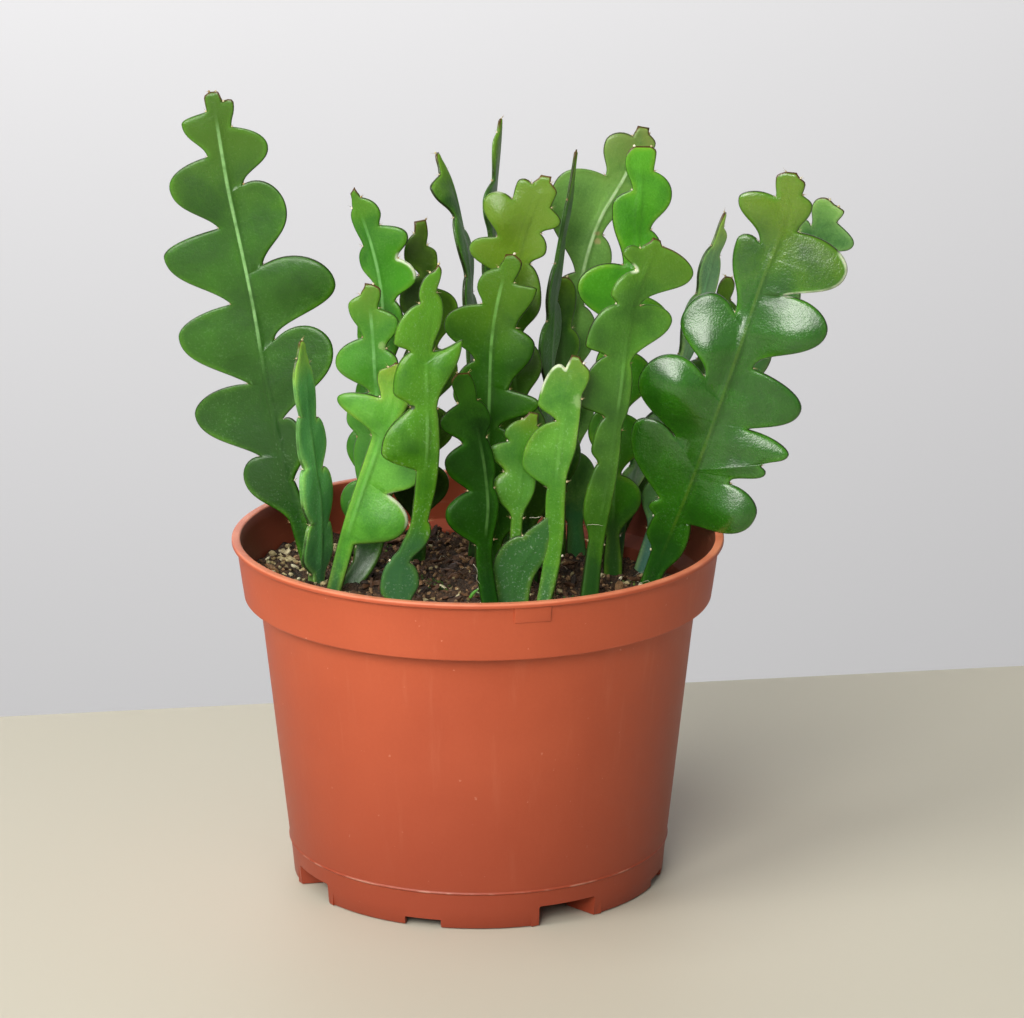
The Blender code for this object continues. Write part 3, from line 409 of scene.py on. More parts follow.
def bladeFrame(blade, curve, lengths, distance):
    # the rib's point, and the directions along it, across the blade and out of its face
    inside = np.clip(distance, 0, lengths[-1])
    steps = np.gradient(curve, lengths, axis=0)
    point = np.stack([np.interp(inside, lengths, curve[:, k]) for k in range(3)], axis=-1)
    up = np.stack([np.interp(inside, lengths, steps[:, k]) for k in range(3)], axis=-1)
    up /= np.linalg.norm(up, axis=-1, keepdims=True)
    point = point + up * (distance - inside)[..., None]
    faces = blade["face"]
    angle = np.radians(np.interp(inside / lengths[-1], np.linspace(0, 1, len(faces)), faces))
    out = np.stack([np.sin(angle), -np.cos(angle), np.zeros_like(angle)], axis=-1)
    out -= up * np.sum(out * up, axis=-1, keepdims=True)
    out /= np.linalg.norm(out, axis=-1, keepdims=True)
    return point, up, np.cross(up, out), out


def stroke(start, end, towardsTip, count):
    # one side of a lobe, from a notch to the lobe's tip or from there in
    run, reach = end[0] - start[0], end[1] - start[1]
    if towardsTip:
        fullness = end[2] if len(end) > 2 else stem["fullness"]
        near = (start[0] + (0.4 - 0.2 * fullness) * run, start[1] + fullness * reach)
        far = (end[0] - 0.5 * run, end[1])
    else:
        shoulder = end[2] if len(end) > 2 else min(0.0, max(stem["shoulder"], -0.3 * run))
        near = (start[0] + max(0.55 * (run + max(shoulder, 0.0)), 1.2), start[1])
        far = (end[0] + shoulder, end[1] - 0.5 * reach)
    t = (np.arange(1, count + 1) / count)[:, None]
    ends = [np.array(p[:2], float) for p in (start, near, far, end)]
    return list((1 - t)**3 * ends[0] + 3 * t * (1 - t)**2 * ends[1]
                + 3 * t**2 * (1 - t) * ends[2] + t**3 * ends[3])


def sharedOut(lengths, total):
    counts = [3 if length > 4 else 2 for length in lengths]
    while sum(counts) < total:
        counts[max(range(len(lengths)), key=lambda i: lengths[i] / counts[i])] += 1
    return counts


def marginPoints(marks, stalkHalf, sunk, rows):
    stops = [(-sunk, stalkHalf), (0.0, stalkHalf), *marks]
    sizes = [math.dist(a[:2], b[:2]) for a, b in zip(stops, stops[1:])]
    sizes[0] *= 0.3
    counts = sharedOut(sizes, rows)
    points, levels = [np.array(stops[0][:2], float)], [stops[0][0]]
    for index, (start, end) in enumerate(zip(stops, stops[1:])):
        if index < 2:
            line = [np.array(start[:2]) + (np.array(end[:2]) - np.array(start[:2])) * (k + 1)
                    / counts[index] for k in range(counts[index])]
            points += line
            levels += [p[0] for p in line]
        else:
            points += stroke(start, end, index % 2 == 0, counts[index])
    notches = range(2, len(stops), 2)
    heights = [stops[i][0] for i in notches]
    places = [sum(counts[:i]) for i in notches]
    if len(marks) % 2 == 0:
        heights.append(max(stops[-1][0], heights[-1] + 0.5))
        places.append(rows)
    for a, b, low, high in zip(places, places[1:], heights, heights[1:]):
        levels += [low + (high - low) * (k + 1) / (b - a) for k in range(b - a)]
    return np.array(points), np.array(levels)


def unfoldedLevels(levels, margins):
    # slides the rib's points until no cell between rib and margin folds over
    fold, gap = stem["foldGap"], stem["rowGap"]
    low, high = np.full(len(levels), -1e9), np.full(len(levels), 1e9)
    for margin in margins:
        for index, (a, b) in enumerate(zip(margin, margin[1:])):
            if abs(b[1] - a[1]) < 0.003:
                continue
            crossing = (a[0] * b[1] - b[0] * a[1]) / (b[1] - a[1])
            for end in (index, index + 1):
                if b[1] > a[1]:
                    low[end] = max(low[end], crossing + fold)
                else:
                    high[end] = min(high[end], crossing - fold)
    for index in range(len(levels) - 2, -1, -1):
        high[index] = min(high[index], high[index + 1] - gap)
    for index in range(1, len(levels)):
        low[index] = max(low[index], low[index - 1] + gap)
    levels = np.minimum(np.maximum(levels, low), high)
    for index in range(1, len(levels)):
        levels[index] = max(levels[index], levels[index - 1] + gap)
    return levels


def distanceToLine(points, line):
    # the shortest way from each point to a line of straight pieces, in the flat of the blade
    start, step = line[:-1], np.diff(line, axis=0)
    sizes = np.maximum(np.sum(step**2, axis=1), 1e-9)
    share = np.clip(np.sum((points[:, None] - start) * step, axis=2) / sizes, 0, 1)
    return np.linalg.norm(points[:, None] - start - share[..., None] * step, axis=2).min(axis=1)


def softNoise(points, size, seed):
    return np.array([noise.noise(Vector((x / size, y / size, seed))) for x, y in points])


# bulges of single lobes: distance along the rib, reach, height and size
bulges = {
    "stem_right_glossy": [(97.0, 17.5, 3.3, 7.8), (88.0, -9.5, 2.9, 5.8), (72.0, -14.5, 5.0, 7.4),
                          (34.5, 18.0, 5.0, 7.4)],
    "stem_front_left": [(28.5, 11.5, 1.7, 6.0)],
    "stem_left_middle": [(77.0, -8.0, 1.3, 5.0)],
    "stem_centre_yellow": [(117.0, -9.0, 2.2, 4.6)],
}


def bulged(blade, distance, reach):
    # the sum of the bulges that the blade has, none at the stalk
    name = next((key for key, value in blades.items() if value is blade), "")
    total = np.zeros(len(distance))
    for along, aside, height, size in bulges.get(name, []):
        total += height * np.exp(-((distance - along)**2 + (reach - aside)**2) / (2 * size**2))
    return total * np.clip(distance / stem["liftFull"], 0, 1)


def bladeLift(blade, distance, reach, edge, seed):
    # how far a point of the blade stands out of the flat
    def ofSide(shift):
        # the same for a whole side of the rib
        return np.stack([distance, np.sign(reach) * shift], axis=1)

    def off(width):
        # 0 at the rib, 1 past a width
        return np.clip(np.abs(reach) / width, 0, 1)

    swell = blade.get("dome", stem["dome"])
    if "dome" not in blade:
        uneven = softNoise(ofSide(60), stem["domeSize"], seed + 8)
        swell = swell * (stem["domeLeast"] + stem["domeSpread"] * uneven)
    near = 1 - np.clip(edge / stem["domeWidth"], 0, 1)
    far = reach / stem["farReach"]
    lift = stem["wave"] * np.sin(distance / stem["waveLength"] + blade["rib"][0][0]) * far
    lift = lift + stem["cup"] * far**2
    rough = softNoise(np.stack([distance, reach], axis=1), stem["puckerSize"], seed)
    lift = lift + stem["pucker"] * rough * off(stem["puckerFull"])
    rolled = softNoise(ofSide(40), stem["curlSize"], seed + 3)
    rolled = rolled * np.exp(-edge / stem["curlWidth"])
    lift = lift + stem["curl"] * rolled * off(stem["curlFull"])
    lift = lift + swell * (1 - near**2) * off(stem["domeFull"])
    return lift * np.clip(distance / stem["liftFull"], 0, 1)


def evened(field, times):
    # takes the creases out of a field over the blade's rows and columns
    for _ in range(times):
        padded = np.pad(field, 1, mode="edge")
        field = (padded[1:-1, 1:-1] * 2 + padded[:-2, 1:-1] + padded[2:, 1:-1]
                 + (padded[1:-1, :-2] + padded[1:-1, 2:]) * 0.5) / 5
    return field


def bladeField(blade):
    # over the blade's rows and columns: distance up the rib, reach from it, way to the margin
    stalkHalf = blade.get("stalkHalf", stem["stalkHalf"])
    sunk = blade.get("sunk", stem["sunk"])
    rows = (max(len(blade["left"]), len(blade["right"])) + 1) * stem["rowsPerStroke"]
    half = stem["columns"]
    sides, levels = [], 0
    for side in ("left", "right"):
        points, heights = marginPoints(blade[side], stalkHalf, sunk, rows)
        sides.append(points)
        levels = levels + heights / 2
    levels = unfoldedLevels(levels, sides)
    distance, reach, edge = (np.zeros((rows + 1, 2 * half + 1)) for _ in range(3))
    for sign, points in zip((-1, 1), sides):
        wide = np.clip((points[:, 1] - 3) / 17, 0, 1)[:, None]
        share = slimShares * (1 - wide) + wideShares * wide
        far = levels[:, None] + (points[:, :1] - levels[:, None]) * share
        out = points[:, 1:] * share
        line = np.vstack([points, [[levels[-1], 0.0]]])
        near = distanceToLine(np.stack([far.ravel(), out.ravel()], axis=1), line)
        near = near.reshape(far.shape)
        near[:, -1] = 0
        near[-1] = 0
        columns = half + sign * np.arange(half + 1)
        distance[:, columns], reach[:, columns], edge[:, columns] = far, sign * out, near
    return distance, reach, edge


def bladeThickness(distance, reach, edge, length):
    # half the thickness, and how broad the blade is there, up to 1
    taper = np.clip((length - distance) / stem["tipTaper"], 0, 1)
    slimness = stem["tipSlim"] + (1 - stem["tipSlim"]) * taper
    rim = np.sqrt(1 - (1 - np.clip(edge / stem["rim"], 0, 1))**2)
    bulk = np.clip(1 - distance / stem["stalkHeight"], 0, 1) * stem["stalkBulk"]
    widest = np.convolve(np.pad(edge.max(axis=1), 8, mode="edge"), np.ones(17) / 17, mode="valid")
    broad = (widest - stem["ridgeFrom"]) / (stem["ridgeFull"] - stem["ridgeFrom"])
    broad = np.clip(broad, stem["leastRidge"], 1)
    broad = np.repeat(broad[:, None], distance.shape[1], axis=1)
    thick = (stem["lamina"] * (1 - stem["tipThin"] + stem["tipThin"] * taper) + bulk
             + stem["plump"] * np.clip(edge / stem["plumpFull"], 0, 1)
             + stem["ridge"] * slimness * broad * np.exp(-(reach / stem["ridgeWidth"])**2)) * rim
    thick[0] = 0
    return thick, broad


def bladeSheet(name, blade, seed):
    curve, lengths = ribCurve(blade["rib"])
    distance, reach, edge = bladeField(blade)
    thick, broad = bladeThickness(distance, reach, edge, lengths[-1])
    grid = distance.shape
    distance, reach, edge, thick, broad = (
        field.ravel() for field in (distance, reach, edge, thick, broad))
    point, up, across, out = bladeFrame(blade, curve, lengths, distance)
    lift = bladeLift(blade, distance, reach, edge, seed).reshape(grid)
    lift = evened(lift, stem["evenings"]).ravel() + bulged(blade, distance, reach)
    middle = point + across * reach[:, None] + out * lift[:, None]
    grow = np.clip(distance / lengths[-1], 0, 1) * blade.get("age", 1)
    halves = []
    for sign in (1, -1):
        item, column, row = addGrid(name, grid[1] - 1, grid[0] - 1)
        order = row * grid[1] + column
        setCoords(item, ((middle + sign * out * thick[:, None] + potAxis) * mm)[order])
        for label, values in (("edge", edge), ("reach", np.abs(reach)), ("grow", grow),
                              ("broad", broad)):
            setAttribute(item, label, values[order])
        if sign < 0:
            edited(item, bpy.ops.mesh.flip_normals)
        halves.append(item)
    sheet = join(*halves)
    mergeDoubles(sheet, 1e-7)
    smooth(sheet)
    return sheet


# Shader groups that more than one material uses.

def newGroup(name, inputs, outputs):
    group = bpy.data.node_groups.new(name, "ShaderNodeTree")
    for label, kind, value in inputs:
        socket = group.interface.new_socket(name=label, in_out="INPUT", socket_type=kind)
        if value is not None:
            socket.default_value = value
    for label, kind in outputs:
        group.interface.new_socket(name=label, in_out="OUTPUT", socket_type=kind)
    tree = Nodes(group)
    return group, tree, tree.add("NodeGroupInput"), tree.add("NodeGroupOutput")


class Nodes:
    # adds nodes to a tree, wires them and fills their sockets in one call

    def __init__(self, tree):
        self.tree = tree

    def add(self, kind, settings=None, **sockets):
        node = self.tree.nodes.new(kind)
        for key, value in (settings or {}).items():
            setattr(node, key, value)
        for key, value in sockets.items():
            self.feed(node.inputs[key.replace("_", " ")], value)
        return node

    def feed(self, socket, value):
        if isinstance(value, bpy.types.NodeSocket):
            self.tree.links.new(value, socket)
        elif isinstance(value, bpy.types.Node):
            self.tree.links.new(value.outputs[0], socket)
        else:
            socket.default_value = value

    def math(self, operation, first, second=0.0, third=None, clamp=False):
        node = self.tree.nodes.new("ShaderNodeMath")
        node.operation, node.use_clamp = operation, clamp
        self.feed(node.inputs[0], first)
        self.feed(node.inputs[1], second)
        if third is not None:
            self.feed(node.inputs[2], third)
        return node.outputs[0]

    def times(self, *parts):
        product = parts[0]
        for part in parts[1:]:
            product = self.math("MULTIPLY", product, part)
        return product

    def plus(self, first, second, clamp=False):
        return self.math("ADD", first, second, clamp=clamp)

    def minus(self, first, second):
        return self.math("SUBTRACT", first, second)

    def ramp(self, value, low, high, start=0.0, end=1.0, smooth=True):
        node = self.tree.nodes.new("ShaderNodeMapRange")
        node.interpolation_type = "SMOOTHSTEP" if smooth else "LINEAR"
        for socket, part in zip(node.inputs, (value, low, high, start, end)):
            self.feed(socket, part)
        return node.outputs[0]

    def mix(self, share, first, second, mode="MIX"):
        node = self.tree.nodes.new("ShaderNodeMix")
        node.data_type, node.blend_type = "RGBA", mode
        self.feed(node.inputs[0], share)
        self.feed(node.inputs[6], first)
        self.feed(node.inputs[7], second)
        return node.outputs[2]

    def noise(self, place, scale, detail=3.0, roughness=0.5, distortion=0.0):
        return self.add("ShaderNodeTexNoise", Vector=place, Scale=scale, Detail=detail,
                        Roughness=roughness, Distortion=distortion).outputs[0]

    def attribute(self, name):
        return self.add("ShaderNodeAttribute", {"attribute_name": name}).outputs["Fac"]

    def objectPlace(self):
        return self.add("ShaderNodeTexCoord").outputs["Object"]

    def group(self, name, place, **sockets):
        return self.add("ShaderNodeGroup", {"node_tree": groups[name]}, Place=place, **sockets)


def colour(red, green, blue):
    # from the 0 to 255 values of a colour picker to linear light
    parts = [value / 255 for value in (red, green, blue)]
    return (*[p / 12.92 if p <= 0.04045 else ((p + 0.055) / 1.055)**2.4 for p in parts], 1.0)


def mottleGroup():
    # soft patches at two sizes, from 0 to 1
    group, tree, given, result = newGroup(
        "softMottle",
        [("Place", "NodeSocketVector", None), ("Size", "NodeSocketFloat", 90.0),
         ("Fine", "NodeSocketFloat", 420.0), ("Contrast", "NodeSocketFloat", 1.0)],
        [("Patches", "NodeSocketFloat"), ("Specks", "NodeSocketFloat")])
    broad = tree.noise(given.outputs["Place"], given.outputs["Size"], 2.0, 0.5, 0.4)
    fine = tree.noise(given.outputs["Place"], given.outputs["Fine"], 3.0, 0.6)
    both = tree.plus(tree.times(broad, 0.75), tree.times(fine, 0.25))
    centred = tree.times(tree.minus(both, 0.5), given.outputs["Contrast"])
    tree.feed(result.inputs["Patches"], tree.plus(centred, 0.5, clamp=True))
    tree.feed(result.inputs["Specks"], tree.ramp(fine, 0.56, 0.68))
    return group


def grainGroup():
    # a fine raised grain, for the Height of a Bump node
    group, tree, given, result = newGroup(
        "fineGrain",
        [("Place", "NodeSocketVector", None), ("Scale", "NodeSocketFloat", 2200.0),
         ("Broad", "NodeSocketFloat", 260.0), ("Share", "NodeSocketFloat", 0.4)],
        [("Height", "NodeSocketFloat")])
    cells = tree.add("ShaderNodeTexVoronoi", Vector=given.outputs["Place"],
                     Scale=given.outputs["Scale"]).outputs["Distance"]
    waves = tree.noise(given.outputs["Place"], given.outputs["Broad"], 3.0, 0.55)
    fine = tree.times(tree.minus(1.0, cells), given.outputs["Share"])
    tree.feed(result.inputs["Height"], tree.plus(fine, waves))
    return group


groups = {"mottle": mottleGroup(), "grain": grainGroup()}


def newMaterial(name):
    material = bpy.data.materials.new(name)
    material.use_nodes = True
    shader = material.node_tree.nodes["Principled BSDF"]
    return material, Nodes(material.node_tree), shader


def addBump(tree, shader, height, strength, distance):
    bump = tree.add("ShaderNodeBump", Height=height, Strength=strength, Distance=distance)
    tree.feed(shader.inputs["Normal"], bump)


def setConstants(shader, **values):
    # values of the shader's own sockets, with _ for each space in a name
    for key, value in values.items():
        shader.inputs[key.replace("_", " ")].default_value = value


# Skin of the stems. Each stem takes the first look and changes what its own entry gives.

skin = {
    "shade": (46, 96, 32), "bright": (88, 152, 48),     # the two greens that the patches mix
    "young": (112, 150, 40), "youngFrom": 0.97,          # towards the tip
    "tip": (82, 58, 26),
    # colour of age towards the soil, and on the far left stem painted shade
    "oldAndShade": (52, 104, 62), "oldAndShadeTo": 0.16,                 # towards the soil
    "ribLight": (122, 176, 92), "ribStrength": 0.42, "ribFrom": 0.0, "ribTo": 0.8,
    "marginDark": (34, 36, 16), "marginGlow": (128, 176, 70),
    "bloom": 0.07, "rough": 0.34, "coat": 0.12, "grain": 0.35, "shine": 0.36,
    # millimetres from the rib or the margin between which each band fades
    "line": (0.75, 0.25), "shadedGroove": ((0.5, 0.9), (1.9, 1.0)), "rim": (2.4, 0.5),
    "lip": (0.42, 0.12), "wornLip": (0.7, 0.15),
    "grooveShade": (30, 62, 16), "bloomLight": (196, 214, 196), "rimGlint": (206, 216, 184),
    "tone": (0.8, 0.82, 0.5),               # from the lit picture's colours to the skin's own
}
looks = {
    # the far left stem's low colour reaches high up as painted shade from the stem beside it
    "stem_far_left": {"tone": (0.61, 0.75, 0.36), "shade": (52, 98, 34), "bright": (84, 138, 48),
        "young": (100, 134, 36), "youngFrom": 0.86, "ribStrength": 0.75, "ribTo": 1.1,
        "ribFrom": 0.42, "ribLight": (146, 196, 124), "oldAndShade": (40, 90, 20), "oldAndShadeTo": 0.62},
    # the left edge stem's tone is raised as painted light, since its face turns from the lamps
    "stem_left_edge": {"tone": (1.45, 1.32, 1.3), "shade": (56, 118, 66), "bright": (86, 160, 88),
        "bloom": 0.42},
    "stem_front_left": {"tone": (1.08, 0.98, 0.82), "shade": (60, 132, 48),
        "bright": (100, 182, 72), "ribStrength": 0.35},
    "stem_front_bright": {"tone": (0.76, 0.8, 0.44), "shade": (62, 130, 28),
        "bright": (104, 178, 44), "young": (104, 172, 50), "youngFrom": 0.78,
        "oldAndShade": (78, 134, 140), "oldAndShadeTo": 0.36, "bloom": 0.25},
    "stem_left_middle": {"tone": (0.76, 0.82, 0.55), "shade": (62, 132, 48),
        "bright": (104, 180, 72), "ribStrength": 0.7, "ribFrom": 0.35, "ribTo": 1.1,
        "oldAndShade": (60, 100, 66), "oldAndShadeTo": 0.35, "ribLight": (140, 196, 122)},
    "stem_left_back": {"tone": (0.74, 0.845, 0.48), "shade": (58, 122, 50),
        "bright": (92, 164, 66), "ribStrength": 0.62, "ribFrom": 0.3, "ribTo": 1.1,
        "ribLight": (132, 190, 112)},
    "stem_left_olive": {"shade": (48, 84, 20), "bright": (74, 112, 30), "young": (88, 116, 28),
        "ribStrength": 0.5, "ribFrom": 0.4, "ribTo": 1.0},
    "stem_back_left_thin": {"tone": (1.15, 1.15, 0.8), "marginGlow": (78, 118, 60),
        "shade": (44, 82, 40), "bright": (72, 122, 64), "bloom": 0.3},
    "stem_centre_tall": {"tone": (0.52, 0.65, 0.24), "shade": (52, 104, 30),
        "bright": (84, 144, 48), "young": (132, 166, 60), "youngFrom": 0.82, "ribStrength": 0.5,
        "shine": 0.2, "ribFrom": 0.3, "ribTo": 1.1},
    "stem_centre_yellow": {"tone": (0.68, 0.76, 0.46), "shade": (70, 116, 34),
        "bright": (100, 146, 48), "young": (140, 168, 62), "youngFrom": 0.74,
        "tip": (104, 76, 34)},
    "stem_back_centre_thin": {"tone": (1.15, 1.15, 0.8), "marginGlow": (78, 118, 60),
        "shade": (44, 84, 46), "bright": (72, 124, 68), "bloom": 0.35},
    "stem_back_right_thin": {"tone": (1.15, 1.15, 0.8), "marginGlow": (78, 118, 60),
        "shade": (44, 82, 44), "bright": (70, 122, 66), "bloom": 0.3},
    "stem_back_short": {"shade": (42, 82, 36), "bright": (68, 118, 52)},
    "stem_back_dark": {"tone": (1.48, 1.38, 1.28), "shade": (52, 88, 42), "bright": (86, 128, 66),
        "ribStrength": 1.0, "ribFrom": 0.55, "ribTo": 1.1, "ribLight": (186, 216, 160),
        "marginGlow": (74, 104, 48), "young": (82, 92, 48)},
    "stem_right_bright": {"tone": (0.94, 0.93, 0.52), "shade": (52, 124, 32),
        "bright": (84, 168, 52), "young": (92, 176, 56)},
    "stem_right_front": {"tone": (0.68, 0.77, 0.42), "shade": (64, 116, 40),
        "bright": (108, 166, 74), "ribStrength": 0.3},
    "stem_front_centre": {"tone": (0.88, 0.86, 0.6), "shade": (58, 128, 40),
        "bright": (102, 176, 72), "oldAndShade": (60, 118, 76), "oldAndShadeTo": 0.16, "ribStrength": 0.2,
        "bloom": 0.25},
    # the front pale stem's dark tone is painted shade cast by other stems
    "stem_front_pale": {"tone": (0.34, 0.55, 0.15), "shade": (50, 90, 34), "bright": (84, 132, 56),
        "young": (146, 178, 104), "youngFrom": 0.84, "ribStrength": 0.3, "bloom": 0.02,
        "shine": 0.1, "coat": 0.03},
    "stem_right_glossy": {"tone": (0.54, 0.75, 0.28), "shade": (48, 98, 28),
        "bright": (78, 136, 44), "ribStrength": 0.36, "ribLight": (84, 112, 28), "ribTo": 1.2,
        "young": (170, 166, 74), "youngFrom": 0.87, "rough": 0.26, "grain": 0.42, "bloom": 0.05,
        "coat": 0.6},
    "stem_right_behind": {"tone": (1.2, 1.08, 1.5), "shade": (52, 104, 36),
        "bright": (88, 150, 60), "young": (104, 158, 56)},
    "stem_right_thin": {"tone": (1.55, 1.4, 1.5), "shade": (54, 100, 62), "bright": (88, 144, 92),
        "bloom": 0.35},
    "stem_right_dark": {"shade": (44, 88, 36), "bright": (72, 126, 54)},
}


# dry scars and bruises: place, radius, colour and strength
scars = {
    "stem_back_dark": [((41.2, 53.0, 211.5), 1.2, (176, 172, 122), 0.8), ((40.9, 53.0, 208.8), 1.5,
        (160, 146, 100), 0.8), ((41.0, 53.0, 206.0), 1.6, (170, 156, 108), 0.8)],
    "stem_right_glossy": [((91.9, -1.0, 143.2), 1.9, (206, 198, 150), 0.8)],
    "stem_front_bright": [((-21.2, -37.0, 170.7), 1.1, (28, 36, 14), 0.9)],
    "stem_left_middle": [((-31.5, 4.0, 181.5), 2.0, (150, 176, 110), 0.5)],
    "stem_front_centre": [((33.5, -18.8, 168.1), 2.6, (160, 186, 130), 0.35)],
}


def spotGap(tree, place, spot):
    # how far the shaded point is from a spot, in metres
    gap = tree.add("ShaderNodeVectorMath", {"operation": "DISTANCE"})
    tree.feed(gap.inputs[0], place)
    tree.feed(gap.inputs[1], tuple((value + shift) * mm for value, shift in zip(spot, potAxis)))
    return gap.outputs["Value"]


def addScars(tree, base, place, name):
    for spot, radius, rgb, strength in scars.get(name, []):
        ragged = tree.plus(spotGap(tree, place, spot),
                           tree.times(tree.noise(place, 700.0), radius * mm * 0.9))
        share = tree.ramp(ragged, radius * mm * 1.5, radius * mm * 1.0, 0.0, strength)
        base = tree.mix(share, base, colour(*rgb))
    return base


# painted glints on turned margins, which are also a little dry: places along them and the radius of
# each
rimGlints = {
    "stem_right_glossy": [((103.0, -0.2, 201.3), 3.0), ((108.2, -0.8, 201.9), 3.4),
        ((113.0, -1.2, 203.4), 3.4), ((117.6, -1.7, 205.2), 3.4), ((120.6, -2.0, 208.3), 3.4),
        ((121.9, -2.1, 212.4), 3.0)],
    "stem_left_back": [((-26.6, 19.5, 206.8), 2.6), ((-22.4, 18.5, 203.8), 2.8)],
    "stem_front_left": [((-27.6, -15.6, 134.2), 2.8), ((-24.2, -16.1, 131.2), 3.0),
        ((-23.6, -16.2, 127.2), 3.0)],
    "stem_right_front": [((53.6, -6.5, 209.2), 3.0), ((57.4, -5.8, 212.6), 3.0)],
    "stem_front_centre": [((27.4, -17.4, 179.4), 3.4), ((22.4, -16.6, 173.8), 3.4)],
    "stem_centre_yellow": [((4.4, 18.2, 227.8), 2.2), ((7.4, 17.6, 230.0), 2.2)],
}


def addRimGlints(tree, base, place, edge, name):
    # each place paints a pale glint on the margin as a painted highlight
    for spot, radius in rimGlints.get(name, []):
        near = tree.ramp(spotGap(tree, place, spot), radius * mm * 1.4, radius * mm * 0.7)
        share = tree.times(near, tree.ramp(edge, 1.15, 0.35, 0.0, 0.8))
        base = tree.mix(share, base, colour(*skin["rimGlint"]))
    return base


def skinMaterial(name):
    look = {**skin, **looks.get(name, {})}
    material, tree, shader = newMaterial(name + "_skin")
    place = tree.objectPlace()
    edge, reach, grow, broad = (tree.attribute(a) for a in ("edge", "reach", "grow", "broad"))
    mottle = tree.group("mottle", place, Size=75.0, Fine=1300.0, Contrast=2.6)
    patches = mottle.outputs["Patches"]

    def own(key):
        return colour(*[value * part for value, part in zip(look[key], look["tone"])])

    base = tree.mix(patches, own("shade"), own("bright"))

    # long faint fibres, drawn out along the stem by the blade's own map
    stretched = tree.add("ShaderNodeMapping", Vector=tree.add("ShaderNodeTexCoord").outputs["UV"],
                         Scale=(60.0, 3.0, 1.0))
    fibres = tree.noise(stretched, 1.0, 3.0, 0.6)
    base = tree.mix(tree.ramp(fibres, 0.5, 0.8, 0.0, 0.3), base, own("bright"))

    # youth at the tip and age at the foot; on the far left stem that colour is painted shade
    loose = tree.plus(grow, tree.times(tree.minus(patches, 0.5), 0.12))
    base = tree.mix(tree.ramp(loose, look["youngFrom"] - 0.15, look["youngFrom"] + 0.1), base,
                    own("young"))
    base = tree.mix(tree.ramp(loose, look["oldAndShadeTo"], look["oldAndShadeTo"] * 0.3), base, own("oldAndShade"))

    # the rib: a pale line between two darker ones, which are painted shade of a groove
    along = tree.times(tree.ramp(grow, look["ribFrom"], look["ribFrom"] + 0.15),
                       tree.ramp(grow, look["ribTo"], look["ribTo"] - 0.25))
    shadedGroove = tree.times(*[tree.ramp(reach, *band) for band in look["shadedGroove"]])
    base = tree.mix(tree.times(shadedGroove, tree.times(broad, 0.2)), base,
                    colour(*look["grooveShade"]))
    line = tree.times(tree.ramp(reach, *look["line"]), along,
                      tree.ramp(tree.noise(place, 180.0), 0.3, 0.6, 0.35, 1.0),
                      tree.ramp(broad, 0.0, 0.5), look["ribStrength"])
    base = tree.mix(line, base, colour(*look["ribLight"]))

    # the margin: a lighter rim, painted light that passes through the thin edge, with a brown lip
    rim = tree.times(tree.ramp(edge, *look["rim"]), tree.ramp(patches, 0.3, 0.8, 0.15, 0.5))
    base = tree.mix(rim, base, own("marginGlow"))
    lip = tree.times(tree.ramp(edge, *look["lip"]),
                     tree.ramp(tree.noise(place, 60.0), 0.35, 0.6, 0.25, 0.9))
    base = tree.mix(lip, base, colour(*look["marginDark"]))
    worn = tree.times(tree.ramp(grow, 0.965, 0.995), tree.ramp(edge, *look["wornLip"]))
    base = tree.mix(worn, base, colour(*look["tip"]))
    base = addScars(tree, base, place, name)
    base = addRimGlints(tree, base, place, edge, name)

    # pale bloom of fine dots, strongest low down
    dots = tree.times(mottle.outputs["Specks"], tree.ramp(patches, 0.35, 0.75))
    bloom = tree.times(dots, tree.ramp(grow, 0.75, 0.1, 0.35, 1.0), look["bloom"])
    base = tree.mix(bloom, base, colour(*look["bloomLight"]))
    tree.feed(shader.inputs["Base Color"], base)
    tree.feed(shader.inputs["Roughness"],
              tree.plus(tree.times(patches, -0.12), look["rough"] + 0.08))
    setConstants(shader, Specular_IOR_Level=look["shine"], Coat_Weight=look["coat"],
                 Coat_Roughness=0.235, Subsurface_Weight=0.12, Subsurface_Scale=0.0016,
                 Subsurface_Radius=(0.35, 1.0, 0.12))
    grain = tree.group("grain", place, Scale=1500.0, Broad=330.0, Share=0.22)
    addBump(tree, shader, grain.outputs["Height"], look["grain"], 0.0006)
    return material


# Pot

pot = {
    "lipRadius": 82.5, "lipTop": 117.5, "lipDrop": 1.6, "lipInner": 79.6,
    "bandTop": 81.0, "bandBottom": 78.5, "bandHeight": 97.3,
    "bodyTop": 73.4, "foot": 62.9, "wall": 1.6, "footWall": 2.0,
    "shoulderTop": 101.5, "shoulderBottom": 98.0,
    "partingLine": 12.6, "ridge": 0.35,
    "floorBottom": 7.2, "floorTop": 9.2, "floorRadius": 56.0,
    "steps": 180,
    "notchTurn": 27.9, "wideNotch": (21.5, 6.8), "narrowNotch": (12.5, 2.8),
    "channelWidth": 13.5, "channelLength": 13.0, "channelWall": 2.4,
    "drainRadius": 4.5, "drainCircle": 51.0,
    "tab": (12.0, 5.4, 0.5), "tabTurn": 12.5,     # width, height and relief
    "innerMiddle": -0.9, "innerSlope": 0.142,     # middle of the wall within the band
    "cutPast": 5, "cutBelow": -3.0,               # how far the cutters reach past the foot
    "wideFlare": 1.3, "wideTight": 0.6, "wideBevel": 0.7, "narrowBevel": 0.4,
}
bodySlope = (pot["bodyTop"] - pot["foot"]) / pot["bandHeight"]


def bodyRadius(height):
    return pot["foot"] + bodySlope * height


def arc(centre, radius, first, last, count):
    # points on a circle in the pot's section, angles in degrees from outward
    turns = np.radians(np.linspace(first, last, count))
    return [(centre[0] + radius * math.cos(t), centre[1] + radius * math.sin(t)) for t in turns]


